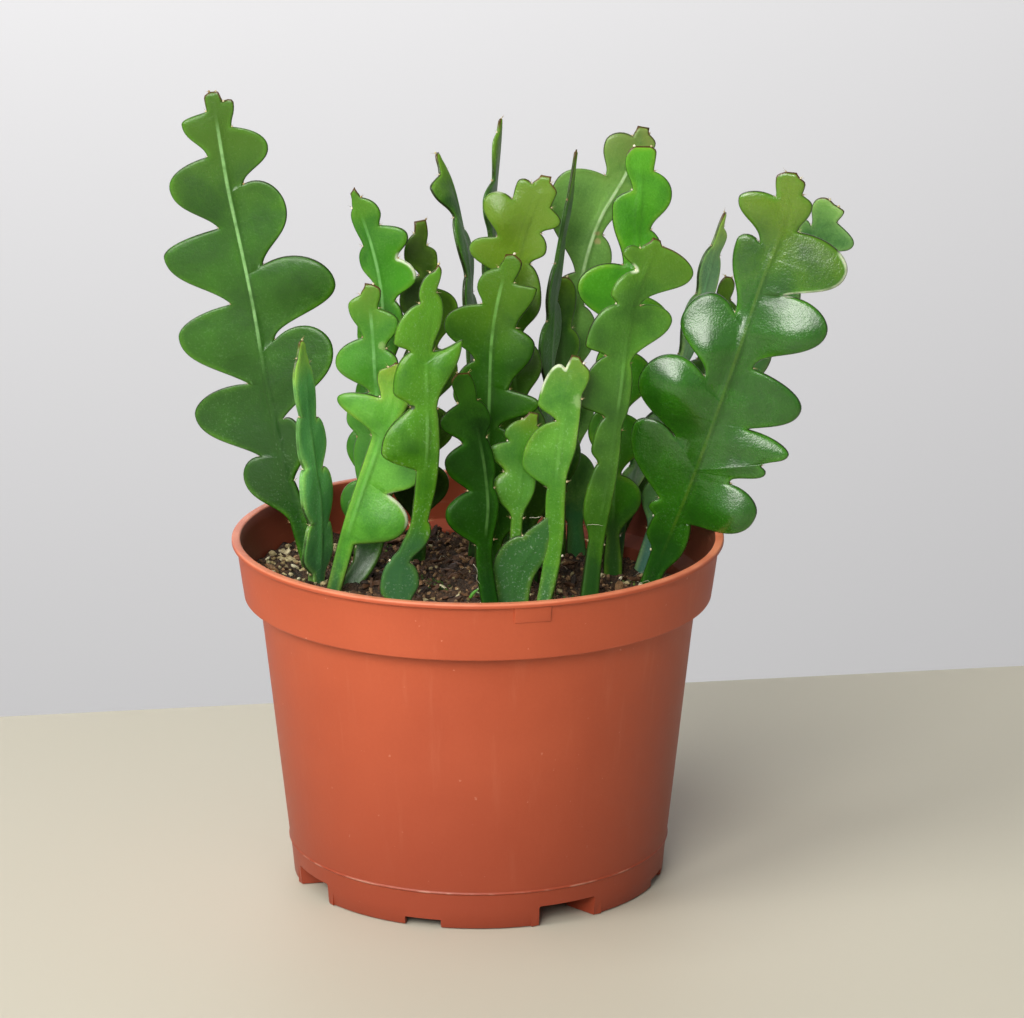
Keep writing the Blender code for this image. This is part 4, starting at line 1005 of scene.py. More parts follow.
def potSection():
    # from the middle of the floor up the inside, over the lip and down the outside
    lipOut, lipTop, lipIn = pot["lipRadius"], pot["lipTop"], pot["lipInner"]
    lipLow = lipTop - pot["lipDrop"]
    bandOut, bandIn, bandLow = pot["bandTop"], pot["bandBottom"], pot["bandHeight"]
    body, foot, wall, footWall = (pot[key] for key in ("bodyTop", "foot", "wall", "footWall"))
    shoulderLow, shoulderTop = pot["shoulderBottom"], pot["shoulderTop"]
    line, ridge, floorLow, floorTop = (pot[key] for key in ("partingLine", "ridge", "floorBottom",
                                                            "floorTop"))
    atLine, atFloor, flat = bodyRadius(line), bodyRadius(floorLow) - footWall, pot["floorRadius"]
    return [
        (0.0, floorTop), (flat, floorTop),
        *arc((bodyRadius(floorTop) - wall - 1.5, floorTop + 1.5), 1.5, -80, -5, 5),
        *[(bodyRadius(h) - wall, h) for h in (30, 55, 80, shoulderLow - 0.8)],
        (bodyRadius(shoulderLow) - wall + 0.25, shoulderLow),
        (bandIn + 0.2 - wall, shoulderTop - 0.5), (bandIn + 0.55 - wall, shoulderTop + 0.3),
        (lipIn - 0.8, lipTop - 4.0), (lipIn - 0.5, lipTop - 1.5),
        *arc((lipIn + 0.75, lipTop - 0.85), 0.85, 170, 95, 6),
        *arc((lipOut - 0.6, lipTop - 0.6), 0.6, 88, 0, 7),
        *arc((lipOut - 0.35, lipLow + 0.35), 0.35, 0, -80, 5),
        (bandOut + 0.1, lipLow + 0.05), (bandOut - 0.1, lipLow - 0.4),
        (bandOut - 0.8, lipLow - 6.0), (bandIn + 0.75, bandLow + 5.5),
        (bandIn + 0.1, bandLow + 1.0),
        *arc((bandIn - 0.55, bandLow + 0.6), 0.6, -5, -85, 5),
        (body + 0.9, bandLow), (body + 0.35, bandLow - 0.15), (body + 0.05, bandLow - 0.8),
        *[(bodyRadius(h), h) for h in (85.0, 60.0, 35.0, line + 2.0, line + 0.55)],
        (atLine + ridge * 0.8, line + 0.25), (atLine + ridge, line), (atLine + 0.05, line - 0.3),
        (atLine - 0.2, line - 0.6), (bodyRadius(6.0) - 0.12, 6.0),
        (foot + 0.02, 0.5), (foot - 0.3, 0.05), (foot - 0.6, 0.0), (foot - footWall + 0.4, 0.0),
        (foot - footWall, 0.4), (atFloor, floorLow - 0.4), (atFloor - 0.8, floorLow),
        (flat, floorLow), (0.0, floorLow),
    ]


def spun(name, section, steps):
    # the section as an edge loop, spun about the pot's axis
    item = added(name, bpy.ops.mesh.primitive_plane_add, size=1)
    mesh = bpy.data.meshes.new(name)
    points = [((x + potAxis[0]) * mm, 0.0, z * mm) for x, z in section]
    mesh.from_pydata(points, [(i, i + 1) for i in range(len(points) - 1)], [])
    item.data = mesh
    edited(item, lambda: bpy.ops.mesh.spin(steps=steps, angle=2 * math.pi,
                                           center=tuple(potAxis * mm), axis=(0, 0, 1)),
           lambda: bpy.ops.mesh.remove_doubles(threshold=1e-5),
           lambda: bpy.ops.mesh.normals_make_consistent(inside=False))
    return item


def addBlock(name, turn, near, far, halfWidths, heights, bevel=0.0):
    # a block along a radius of the pot; its sides close in towards the middle
    item = added(name, bpy.ops.mesh.primitive_cube_add, size=2)
    coords = getCoords(item)
    outer = coords[:, 1] < 0
    coords = np.stack([coords[:, 0] * np.where(outer, *halfWidths), -np.where(outer, far, near),
                       np.where(coords[:, 2] > 0, heights[1], heights[0])], axis=1)
    cosine, sine = math.cos(math.radians(turn)), math.sin(math.radians(turn))
    spin = np.array([[cosine, -sine, 0], [sine, cosine, 0], [0, 0, 1]])
    setCoords(item, (coords @ spin.T + potAxis) * mm)
    if bevel:
        edited(item, lambda: bpy.ops.mesh.bevel(offset=bevel * mm, segments=3, affect="EDGES"))
    return item


def outwards(turn):
    # the direction out of the pot at a turn in degrees from the front
    return np.array([math.sin(math.radians(turn)), -math.cos(math.radians(turn)), 0])


def addDrain(name, turn):
    place = outwards(turn) * pot["drainCircle"] + potAxis
    height = (pot["floorTop"] + pot["floorBottom"]) / 2
    item = added(name, bpy.ops.mesh.primitive_cylinder_add, vertices=40, depth=0.008,
                 radius=pot["drainRadius"] * mm,
                 location=(place[0] * mm, place[1] * mm, height * mm))
    bpy.ops.object.transform_apply(location=True, rotation=True, scale=True)
    return item


def combine(item, others, operation):
    # one Boolean with a joined copy of the others, applied, after which they are removed
    tool = join(*others)
    modifier = item.modifiers.new("combine", "BOOLEAN")
    modifier.operation, modifier.object, modifier.solver = operation, tool, "EXACT"
    modifier.use_self = True
    pick(item)
    bpy.ops.object.modifier_apply(modifier=modifier.name)
    bpy.data.objects.remove(tool, do_unlink=True)


def potTab():
    width, height, relief = pot["tab"]
    lipBottom = pot["lipTop"] - pot["lipDrop"]
    slope = (pot["bandTop"] - pot["bandBottom"]) / (lipBottom - pot["bandHeight"])
    low = lipBottom - height
    radius = pot["bandBottom"] + (low - pot["bandHeight"]) * slope
    item = addBlock("tab", pot["tabTurn"], radius - 0.8, radius + relief * 0.9,
                    (width / 2, width / 2), (low, lipBottom + 0.4), 0.18)
    coords = getCoords(item)
    rise = coords[:, 2] / mm - low
    setCoords(item, coords + outwards(pot["tabTurn"]) * (rise * slope)[:, None] * mm)
    return item


def buildPot():
    body = spun("terracotta_pot", potSection(), pot["steps"])
    inner, past = pot["foot"] - pot["channelLength"], pot["foot"] + pot["cutPast"]
    half, top = pot["wideNotch"][0] / 2, pot["wideNotch"][1]
    innerHalf = pot["channelWidth"] / 2
    narrowHalf = pot["narrowNotch"][0] / 2
    walls, holes = [potTab()], []
    for quarter in range(4):
        turn = pot["notchTurn"] + 90 * quarter
        walls.append(addBlock(f"channel{quarter}", turn, inner, pot["foot"] - 1.0,
                              (half + pot["channelWall"], innerHalf + pot["channelWall"]),
                              (0.0, pot["floorBottom"] + 1.0)))
        holes.append(addBlock(f"wide{quarter}", turn, inner - 2, past,
                              (half + pot["wideFlare"], innerHalf - pot["wideTight"]),
                              (pot["cutBelow"], top), pot["wideBevel"]))
        holes.append(addBlock(f"narrow{quarter}", turn - 45, pot["foot"] - 6, past,
                              (narrowHalf, narrowHalf),
                              (pot["cutBelow"], pot["narrowNotch"][1]), pot["narrowBevel"]))
        holes += [addDrain(f"drain{quarter}", turn), addDrain(f"drain{quarter + 4}", turn - 45)]
    combine(body, walls, "UNION")
    combine(body, holes, "DIFFERENCE")
    smooth(body, 32)
    markInside(body)
    return dress(body, plasticMaterial())


def markInside(item):
    # 1 on the inner wall, 0 on the rest
    coords = getCoords(item) / mm - potAxis
    radius, height = np.hypot(coords[:, 0], coords[:, 1]), coords[:, 2]
    middle = np.where(height < pot["shoulderBottom"], bodyRadius(height) - pot["wall"] / 2,
                      pot["bandBottom"] + pot["innerMiddle"]
                      + pot["innerSlope"] * (height - pot["bandHeight"]))
    inside = (radius < middle) & (height > pot["floorBottom"] + 1) & (height < pot["lipTop"] - 0.4)
    setAttribute(item, "inside", inside)


plastic = {
    "light": (188, 87, 53), "deep": (170, 73, 42), "scuff": (214, 134, 102),
    # the inside colours are painted shade, lit at the back and deepest at the right
    "inside": (120, 54, 32), "insideBackLit": (170, 76, 47), "insideDeepShade": (66, 30, 17),
    # low is painted shade towards the pot's bottom
    "low": (126, 47, 26), "rough": 0.44,
    "ridgePale": (232, 176, 150), "speck": (226, 164, 138), "lipWearAndHighlight": (228, 142, 106),
    "scratch": (178, 118, 92),
}


def plasticMaterial():
    material, tree, shader = newMaterial("terracotta_plastic")
    place = tree.objectPlace()
    mottle = tree.group("mottle", place, Size=26.0, Fine=900.0, Contrast=1.6)
    base = tree.mix(mottle.outputs["Patches"], colour(*plastic["deep"]), colour(*plastic["light"]))

    # faint upright flow marks from moulding, drawn out in height
    flow = tree.add("ShaderNodeMapping", Vector=place, Scale=(210.0, 210.0, 7.0))
    streaks = tree.noise(flow, 1.0, 4.0, 0.6)
    base = tree.mix(tree.ramp(streaks, 0.56, 0.8, 0.0, 0.14), base, colour(*plastic["scuff"]))

    # the mould's ridge is rubbed pale in short stretches, and the body gets painted shade lower
    # down
    parts = tree.add("ShaderNodeSeparateXYZ", Vector=place)
    height = parts.outputs["Z"]
    line = pot["partingLine"] * mm
    nearLine = tree.ramp(tree.math("ABSOLUTE", tree.minus(height, line)), 0.00045, 0.0002)
    broken = tree.ramp(tree.noise(place, 70.0, 3.0, 0.7), 0.47, 0.62)
    base = tree.mix(tree.times(nearLine, broken), base, colour(*plastic["ridgePale"]))
    specks = tree.ramp(tree.noise(place, 520.0, 2.0, 0.5), 0.73, 0.79, 0.0, 0.35)
    base = tree.mix(specks, base, colour(*plastic["speck"]))
    # painted shade: darker towards the bottom of the pot
    foot = tree.ramp(height, 0.1, 0.0, 0.0, 0.75, smooth=False)
    base = tree.mix(foot, base, colour(*plastic["low"]))
    # the lip's top edge is painted pale: a painted highlight, with some wear
    onLip = tree.ramp(height, (pot["lipTop"] - 0.9) * mm, (pot["lipTop"] - 0.1) * mm)
    lipWearAndHighlightShare = tree.times(onLip, tree.ramp(tree.noise(place, 45.0, 3.0), 0.35, 0.65, 0.3, 0.75))
    base = tree.mix(lipWearAndHighlightShare, base, colour(*plastic["lipWearAndHighlight"]))

    # painted shade on the inner wall, most at the sides, deepest at the right; pale scratches run
    # round it
    inner = tree.attribute("inside")
    drawn = tree.add("ShaderNodeMapping", Vector=place, Rotation=(0.0, 0.25, 0.0),
                     Scale=(60.0, 60.0, 900.0))
    scratches = tree.ramp(tree.noise(drawn, 1.0, 2.0, 0.5, 0.6), 0.66, 0.76, 0.0, 0.28)
    aside = tree.math("ABSOLUTE", tree.minus(parts.outputs["X"], potAxis[0] * mm))
    dark = tree.mix(tree.ramp(aside, 0.03, 0.066), colour(*plastic["insideBackLit"]),
                    colour(*plastic["inside"]))
    shaded = tree.ramp(parts.outputs["X"], 0.03, 0.055, 0.0, 0.7)
    dark = tree.mix(shaded, dark, colour(*plastic["insideDeepShade"]))
    dark = tree.mix(scratches, dark, colour(*plastic["scratch"]))
    base = tree.mix(inner, base, dark)
    tree.feed(shader.inputs["Base Color"], base)
    tree.feed(shader.inputs["Roughness"],
              tree.plus(tree.times(mottle.outputs["Patches"], 0.1), plastic["rough"]))
    setConstants(shader, Specular_IOR_Level=0.42)
    grain = tree.group("grain", place, Scale=1900.0, Broad=420.0, Share=0.3)
    addBump(tree, shader, grain.outputs["Height"], 0.12, 0.0004)
    return material


# Potting mix

soil = {
    "level": 96.6, "tilt": 0.05, "bump": 1.1,
    "spokes": 360, "rings": 84, "gap": 0.45,
    "crumb": 1.3, "fine": 0.5,      # height of the small unevenness, coarse and fine
    "below": (69.0, 40.0),          # heights of the rings down the side
    "edgeDrop": 0.6, "edgeTop": 97.6, "edgeFlat": 3,    # at the wall of the pot
    "dark": (30, 21, 15), "light": (86, 62, 42), "speck": (128, 98, 70),
    "chips": 3400, "chipsTo": 75.0, "seed": 7,
    "stemGap": 3.2, "wallGap": 1.5,         # ground that the chips leave free
    "barkShare": 0.16, "paleShare": 0.07,
    "morePale": 0.5, "paleFrom": 38, "paleOver": 22,    # more perlite at the left
}
# tones run from dark to pale
grains = {
    "chips": {"tones": ((46, 31, 21), (104, 74, 48), (168, 132, 92)), "rough": 0.75,
        "size": (0.35, 1.05), "stretch": (1.0, 0.8, 0.7)},
    "bark": {"tones": ((38, 24, 15), (92, 60, 36), (146, 108, 70)), "rough": 0.6,
        "size": (0.7, 1.9), "stretch": (2.0, 0.8, 0.45)},
    "perlite": {"tones": ((138, 118, 78), (188, 174, 130), (228, 220, 186)), "rough": 0.8,
        "size": (0.45, 1.35), "stretch": (1.2, 0.9, 0.7)},
}


def soilHeight(x, y):
    # the mix's surface without its crumbs: low mounds, higher at the left
    lumps = (np.sin(x * 0.31 + 1.0) * np.cos(y * 0.27 - 0.4)
             + 0.6 * np.sin(x * 0.13 - y * 0.52) + 0.5 * np.cos(x * 0.71 + y * 0.43))
    left = np.maximum(0.0, -x - 45) * 0.08
    return soil["level"] - soil["tilt"] * x + left + soil["bump"] * lumps


def crumble(x, y):
    # the small unevenness on top of that
    coarse = noise.noise(Vector((x / 3.4, y / 3.4, 2.0)))
    fine = noise.noise(Vector((x / 1.3, y / 1.3, 9.0)))
    return soil["crumb"] * coarse + soil["fine"] * fine


def wallRadius(height):
    # the inside of the pot, less a small gap
    lower = bodyRadius(height) - pot["wall"]
    upper = pot["bandBottom"] + 0.4 - pot["wall"]
    share = np.clip((height - pot["shoulderBottom"]) / (pot["shoulderTop"] - pot["shoulderBottom"]),
                    0, 1)
    return lower + (upper - lower) * share - soil["gap"]


def buildSoil():
    # rings of the surface from the middle out, then down the side and in over the pot's floor
    spokes, rings = soil["spokes"], soil["rings"]
    item, column, row = addGrid("potting_mix", spokes, rings + 6)
    angle = column / spokes * 2 * math.pi
    rim = np.full(len(column), 74.0)
    for _ in range(6):
        rim = wallRadius(soilHeight(rim * np.cos(angle), rim * np.sin(angle)))
    share = np.clip(row / rings, 0, 1)
    radius = rim * share
    x, y = radius * np.cos(angle), radius * np.sin(angle)
    rough = np.array([crumble(a, b) for a, b in zip(x, y)])
    rough = rough * np.clip((rim - radius) / soil["edgeFlat"], 0, 1)
    z = soilHeight(x, y) + rough + 0.5
    below = np.clip(row - rings, 0, 6)
    edge = soilHeight(rim * np.cos(angle), rim * np.sin(angle))
    floor, flat = pot["floorTop"] + 0.3, np.zeros_like(edge)
    depth = np.choose(below, [z, np.minimum(edge - soil["edgeDrop"], soil["edgeTop"]),
                              *[flat + height for height in soil["below"]],
                              flat + floor + 0.6, flat + floor, flat + floor])
    side = wallRadius(depth)
    radius = np.choose(below, [radius, np.minimum(side, rim), side, side, side, side - 0.8,
                               side * 0])
    coords = np.stack([radius * np.cos(angle), radius * np.sin(angle), depth], axis=1)
    setCoords(item, (coords + potAxis) * mm)
    mergeDoubles(item, 1e-6)
    edited(item, lambda: bpy.ops.mesh.normals_make_consistent(inside=False))
    smooth(item)
    return dress(item, soilMaterial())


def soilMaterial():
    material, tree, shader = newMaterial("peat")
    place = tree.objectPlace()
    mottle = tree.group("mottle", place, Size=190.0, Fine=1100.0, Contrast=2.4)
    base = tree.mix(mottle.outputs["Patches"], colour(*soil["dark"]), colour(*soil["light"]))
    base = tree.mix(tree.times(mottle.outputs["Specks"], 0.5), base, colour(*soil["speck"]))
    tree.feed(shader.inputs["Base Color"], base)
    tree.feed(shader.inputs["Roughness"], tree.plus(mottle.outputs["Patches"], 0.5, clamp=True))
    grain = tree.group("grain", place, Scale=1300.0, Broad=600.0, Share=0.8)
    addBump(tree, shader, grain.outputs["Height"], 0.9, 0.0012)
    return material


def pieceFrom(name, coords, faces, tones, material):
    # a piece from ready coordinates, with one tone for each corner
    mesh = bpy.data.meshes.new(name)
    mesh.from_pydata(((coords + potAxis) * mm).tolist(), [], faces)
    item = bpy.data.objects.new(name, mesh)
    bpy.context.scene.collection.objects.link(item)
    setAttribute(item, "tone", tones)
    mesh.materials.append(material)
    return item


def scatter(name, shape, faces, places, sizes, turns, tone, material):
    # copies of one small shape, each with its own place, size, turn and tone, in one mesh
    count, corners = len(places), len(shape)
    coords = np.zeros((count, corners, 3))
    for index in range(count):
        coords[index] = (shape * sizes[index]) @ np.array(Euler(turns[index]).to_matrix()).T \
            + places[index]
    shift = np.arange(count)[:, None, None] * corners
    allFaces = (np.array(faces)[None] + shift).reshape(-1, len(faces[0]))
    return pieceFrom(name, coords.reshape(-1, 3), allFaces.tolist(), np.repeat(tone, corners),
                     material)


def lumpShape(seed):
    # a rough little stone of twenty faces
    source = added("lump", bpy.ops.mesh.primitive_ico_sphere_add, subdivisions=1, radius=1.0)
    shape = getCoords(source)
    faces = [tuple(f.vertices) for f in source.data.polygons]
    rng = random.Random(seed)
    shape = shape * np.array([[rng.uniform(0.7, 1.25)] for _ in shape])
    bpy.data.objects.remove(source, do_unlink=True)
    return shape, faces


def chipMaterial(name, tones, rough):
    # each chip's own tone picks its colour from the dark one to the pale one
    low, middle, high = tones
    material, tree, shader = newMaterial(name)
    tone = tree.attribute("tone")
    place = tree.objectPlace()
    base = tree.mix(tree.ramp(tone, 0.0, 0.55), colour(*low), colour(*middle))
    base = tree.mix(tree.ramp(tone, 0.62, 0.95), base, colour(*high))
    shaded = tree.ramp(tree.noise(place, 900.0, 2.0), 0.35, 0.65, 0.0, 0.45)
    base = tree.mix(shaded, base, colour(*low))
    tree.feed(shader.inputs["Base Color"], base)
    tree.feed(shader.inputs["Roughness"], tree.ramp(shaded, 0.0, 0.5, rough, rough + 0.15))
    addBump(tree, shader, tree.noise(place, 1600.0, 3.0), 0.4, 0.0004)
    return material


def buildChips():
    # loose chips, bark and perlite; none lies where a stem comes out of the mix
    rng = random.Random(soil["seed"])
    feet = np.array([b["rib"][0][:2] for b in [*blades.values(), oldPad]], float)
    made = {kind: [] for kind in grains}
    while sum(len(v) for v in made.values()) < soil["chips"]:
        turn, share = rng.uniform(0, 2 * math.pi), math.sqrt(rng.random())
        radius = share * soil["chipsTo"]
        x, y = radius * math.cos(turn), radius * math.sin(turn)
        z = float(soilHeight(np.array(x), np.array(y)))
        if radius > float(wallRadius(np.array(z))) - soil["wallGap"]:
            continue
        leftness = min(max((-x - soil["paleFrom"]) / soil["paleOver"], 0), 1)
        pale = rng.random() < soil["paleShare"] + soil["morePale"] * leftness
        kind = "perlite" if pale else ("bark" if rng.random() < soil["barkShare"] else "chips")
        size = {key: rng.uniform(*grain["size"]) for key, grain in grains.items()}[kind]
        if np.min(np.linalg.norm(feet - (x, y), axis=1)) < soil["stemGap"] + size:
            continue
        z += crumble(x, y) + 0.5 + size * rng.uniform(0.05, 0.75)
        made[kind].append(((x, y, z), size, rng.random()))
    pieces = []
    for index, (kind, rows) in enumerate(made.items()):
        grain = grains[kind]
        shape, faces = lumpShape(20 + index)
        sizes = [np.array([size * side * rng.uniform(0.75, 1.3) for side in grain["stretch"]])
                 for _, size, _ in rows]
        turns = [(rng.uniform(-0.7, 0.7), rng.uniform(-0.7, 0.7), rng.uniform(0, 6.28))
                 for _ in rows]
        material = chipMaterial(f"{kind}_skin", grain["tones"], grain["rough"])
        pieces.append(scatter(f"soil_{kind}", shape, faces, [r[0] for r in rows], sizes, turns,
                              [r[2] for r in rows], material))
    return pieces


# Fine things in the mix and on the stems: hairs, a seedling, moss, a cork lip and a stub

fine = {
    "seed": 53, "sides": 5, "steps": 10,
    "hairs": 46, "hairThick": 0.075, "hairsTo": 68, "hairLength": (4, 11),
    "mossTufts": 420, "mossSize": 0.55,
    "hairTones": ((96, 76, 52), (188, 174, 140), (238, 232, 210)), "hairRough": 0.6,
    "grassTones": ((74, 140, 34), (104, 170, 52), (214, 230, 178)), "grassRough": 0.45,
    "mossTones": ((34, 44, 16), (58, 84, 26), (104, 132, 48)), "mossRough": 0.85,
    "corkTones": ((140, 112, 70), (196, 178, 130), (232, 226, 198)), "corkRough": 0.7,
}
# threads that hang from the stems: start, end and sag
threads = (
    ((-1.6, -21.6, 113.0), (-0.3, -22.0, 109.5), (0.6, 0, 0)),
    ((-0.3, -22.0, 109.5), (0.7, -22.2, 106.4), (-0.7, 0, 0)),
    ((2.0, -20.0, 102.0), (5.0, -20.5, 97.8), (0.9, 0, 0.5)),
    ((36.4, -10.3, 123.2), (41.6, -10.4, 123.0), (0, 0, 0.3)),
    ((17.2, -17.4, 127.9), (21.6, -17.6, 128.4), (0, 0, -0.3)),
    ((88.5, -0.5, 144.0), (92.5, -2.0, 146.0), (0, 0, 0.6)),
)
# damp places where the moss grows: x, y and spread
mossPlaces = [(-17.6, 11.0, 6.0), (-12.0, 2.0, 4.0), (-34.0, 2.0, 3.5), (30.0, -4.0, 4.5),
              (52.0, 16.0, 5.0), (-46.0, -22.0, 5.0), (5.0, 44.0, 7.0), (-30.0, 45.0, 6.0)]


def tube(points, widths, sides):
    # a thin round strand through the points, its width given at each point
    points = np.array(points, float)
    along = np.gradient(points, axis=0)
    along /= np.linalg.norm(along, axis=1)[:, None]
    aside = np.cross(along, (0.31, 0.2, 0.93))
    aside /= np.linalg.norm(aside, axis=1)[:, None]
    third = np.cross(along, aside)
    turns = np.arange(sides) / sides * 2 * math.pi
    rings = points[:, None] + (aside[:, None] * np.cos(turns)[None, :, None]
                               + third[:, None] * np.sin(turns)[None, :, None]
                               ) * np.array(widths)[:, None, None]
    coords = rings.reshape(-1, 3)
    faces = []
    for ring in range(len(points) - 1):
        for side in range(sides):
            first, second = ring * sides + side, ring * sides + (side + 1) % sides
            faces.append((first, second, second + sides, first + sides))
    last = (len(points) - 1) * sides
    faces += [tuple(range(sides))[::-1], tuple(range(last, last + sides))]
    return coords, faces


def bowed(start, end, sag, steps, rng, stray=0.0):
    # a line from start to end, bowed by sag and strayed a little
    start, end = np.array(start, float), np.array(end, float)
    share = np.linspace(0, 1, steps)[:, None]
    line = start + (end - start) * share + np.array(sag, float) * np.sin(share * math.pi)
    bends = np.array([[rng.uniform(-stray, stray) for _ in range(3)] for _ in range(steps)])
    bends[0] = bends[-1] = 0
    return line + bends


def strandPiece(name, strands, material):
    # strands are (points, widths, tone)
    coords, faces, tones = [], [], []
    for points, widths, tone in strands:
        ring, walls = tube(points, widths, fine["sides"])
        shift = sum(len(c) for c in coords)
        coords.append(ring)
        faces += [tuple(i + shift for i in face) for face in walls]
        tones += [tone] * len(ring)
    item = pieceFrom(name, np.vstack(coords), faces, tones, material)
    smooth(item)
    return item


def taperWidths(width, steps, tip=0.25):
    return width * (1 - (1 - tip) * np.linspace(0, 1, steps)**1.5)


def buildHairs():
    # roots that lie bare on the mix, and the threads
    rng = random.Random(fine["seed"])
    steps, strands = fine["steps"], []
    for _ in range(fine["hairs"]):
        turn, radius = rng.uniform(0, 6.28), fine["hairsTo"] * math.sqrt(rng.random())
        x, y = radius * math.cos(turn), radius * math.sin(turn)
        z = float(soilHeight(np.array(x), np.array(y))) + 0.9
        reach, way = rng.uniform(*fine["hairLength"]), rng.uniform(0, 6.28)
        end = (x + reach * math.cos(way), y + reach * math.sin(way))
        if math.hypot(*end) > fine["hairsTo"] + 2:
            continue
        endHeight = float(soilHeight(np.array(end[0]), np.array(end[1]))) + rng.uniform(0.6, 1.6)
        line = bowed((x, y, z), (*end, endHeight), (0, 0, rng.uniform(0.4, 2.2)), steps, rng, 0.35)
        strands.append((line, taperWidths(fine["hairThick"], steps), rng.uniform(0.2, 0.9)))
    for start, end, sag in threads:
        strands.append((bowed(start, end, sag, steps, rng, 0.12),
                        taperWidths(fine["hairThick"], steps), 0.9))
    return strandPiece("fine_hairs", strands,
                       chipMaterial("fine_hairs", fine["hairTones"], fine["hairRough"]))


def buildSeedling():
    # one broad blade of grass and two thin pale ones
    rng = random.Random(fine["seed"] + 1)
    steps = fine["steps"]
    broad = bowed((-3.4, -12.0, 96.4), (0.2, -12.0, 101.6), (-0.5, 0, 0.4), steps, rng)
    pale = bowed((-0.2, -12.0, 101.2), (1.6, -12.3, 103.4), (0, 0, 0.2), steps, rng)
    thin = bowed((-0.6, -12.0, 100.6), (2.2, -12.0, 97.6), (0.5, 0, 0.4), steps, rng)
    return strandPiece("seedling", [
        (broad, 0.62 * np.sin(np.linspace(0.5, 2.7, steps)), 0.15),
        (pale, taperWidths(0.3, steps), 0.9), (thin, taperWidths(0.2, steps), 0.85)],
        chipMaterial("seedling_skin", fine["grassTones"], fine["grassRough"]))


def buildMoss():
    # tufts strewn about the damp places
    rng = random.Random(fine["seed"] + 2)
    places, sizes, turns, tones = [], [], [], []
    shape, faces = lumpShape(61)
    while len(places) < fine["mossTufts"]:
        x0, y0, spread = rng.choice(mossPlaces)
        x, y = rng.gauss(x0, spread / 2), rng.gauss(y0, spread / 2)
        z = float(soilHeight(np.array(x), np.array(y))) + float(crumble(x, y)) + 0.6
        size = fine["mossSize"] * rng.uniform(0.5, 1.2)
        places.append((x, y, z))
        sizes.append(np.array([size, size, size * rng.uniform(0.7, 1.4)]))
        turns.append((rng.uniform(0, 6), rng.uniform(0, 6), 0))
        tones.append(rng.random())
    material = chipMaterial("moss_skin", fine["mossTones"], fine["mossRough"])
    return scatter("moss", shape, faces, places, sizes, turns, tones, material)


def buildCork():
    # the cream lip of the bite in the right stem, and the dry stub beside the left one
    rng = random.Random(fine["seed"] + 3)
    steps = fine["steps"]
    lip = [bowed((90.6, -1.9, 146.2), (91.8, -1.9, 142.4), (-0.5, 0, 0), steps, rng, 0.12),
           bowed((91.6, -1.9, 142.8), (94.6, -1.8, 140.2), (-0.2, 0, -0.2), steps, rng, 0.1)]
    strands = [(line, 0.42 * np.sin(np.linspace(0.4, 2.7, steps)), 0.8) for line in lip]
    stub = bowed((-41.4, 3.0, 105.6), (-41.0, 3.2, 112.4), (0.4, 0, 0), steps, rng, 0.1)
    strands.append((stub, taperWidths(0.62, steps, 0.5), 0.85))
    return strandPiece("cork_lips", strands,
                       chipMaterial("cork_skin", fine["corkTones"], fine["corkRough"]))


# Areoles: in each notch a dot of wool with a few short bristles

areole = {
    "wool": 0.42, "woolSpread": (0.7, 1.25), "bristle": 1.9, "bristleSpread": (0.5, 1.2),
    "thick": 0.075, "count": 4, "seed": 31,
    "upward": 0.55, "splay": 0.8, "stray": 0.5,     # how a bristle stands off the margin
    "lowest": 0.04, "shortened": 0.3,
    "woolTones": ((150, 128, 84), (206, 196, 150), (240, 236, 214)), "woolRough": 0.85,
    "bristleTones": ((112, 84, 44), (190, 166, 110), (232, 220, 184)), "bristleRough": 0.5,
}


def areolePlaces(name, blade):
    # each notch's place, outward direction and share of the stem's height
    curve, lengths = ribCurve(blade["rib"])
    found = []
    for side, sign in (("left", -1), ("right", 1)):
        for mark in blade[side][0::2]:
            distance, reach = np.array([float(mark[0])]), np.array([float(mark[1]) * sign])
            point, up, across, out = bladeFrame(blade, curve, lengths, distance)
            lift = bladeLift(blade, distance, reach, np.zeros(1), seedOf(name))
            lift = lift + bulged(blade, distance, reach)
            place = point + across * reach[:, None] + out * lift[:, None]
            found.append((place[0], (sign * across + areole["upward"] * up)[0], out[0],
                          mark[0] / lengths[-1]))
    return found


def bristleShape():
    # a thin three-sided cone of unit height
    corners = [(math.cos(t), math.sin(t), 0) for t in (0, 2.1, 4.2)]
    return np.array(corners + [(0, 0, 1)], float), [(0, 1, 3), (1, 2, 3), (2, 0, 3), (2, 1, 0)]


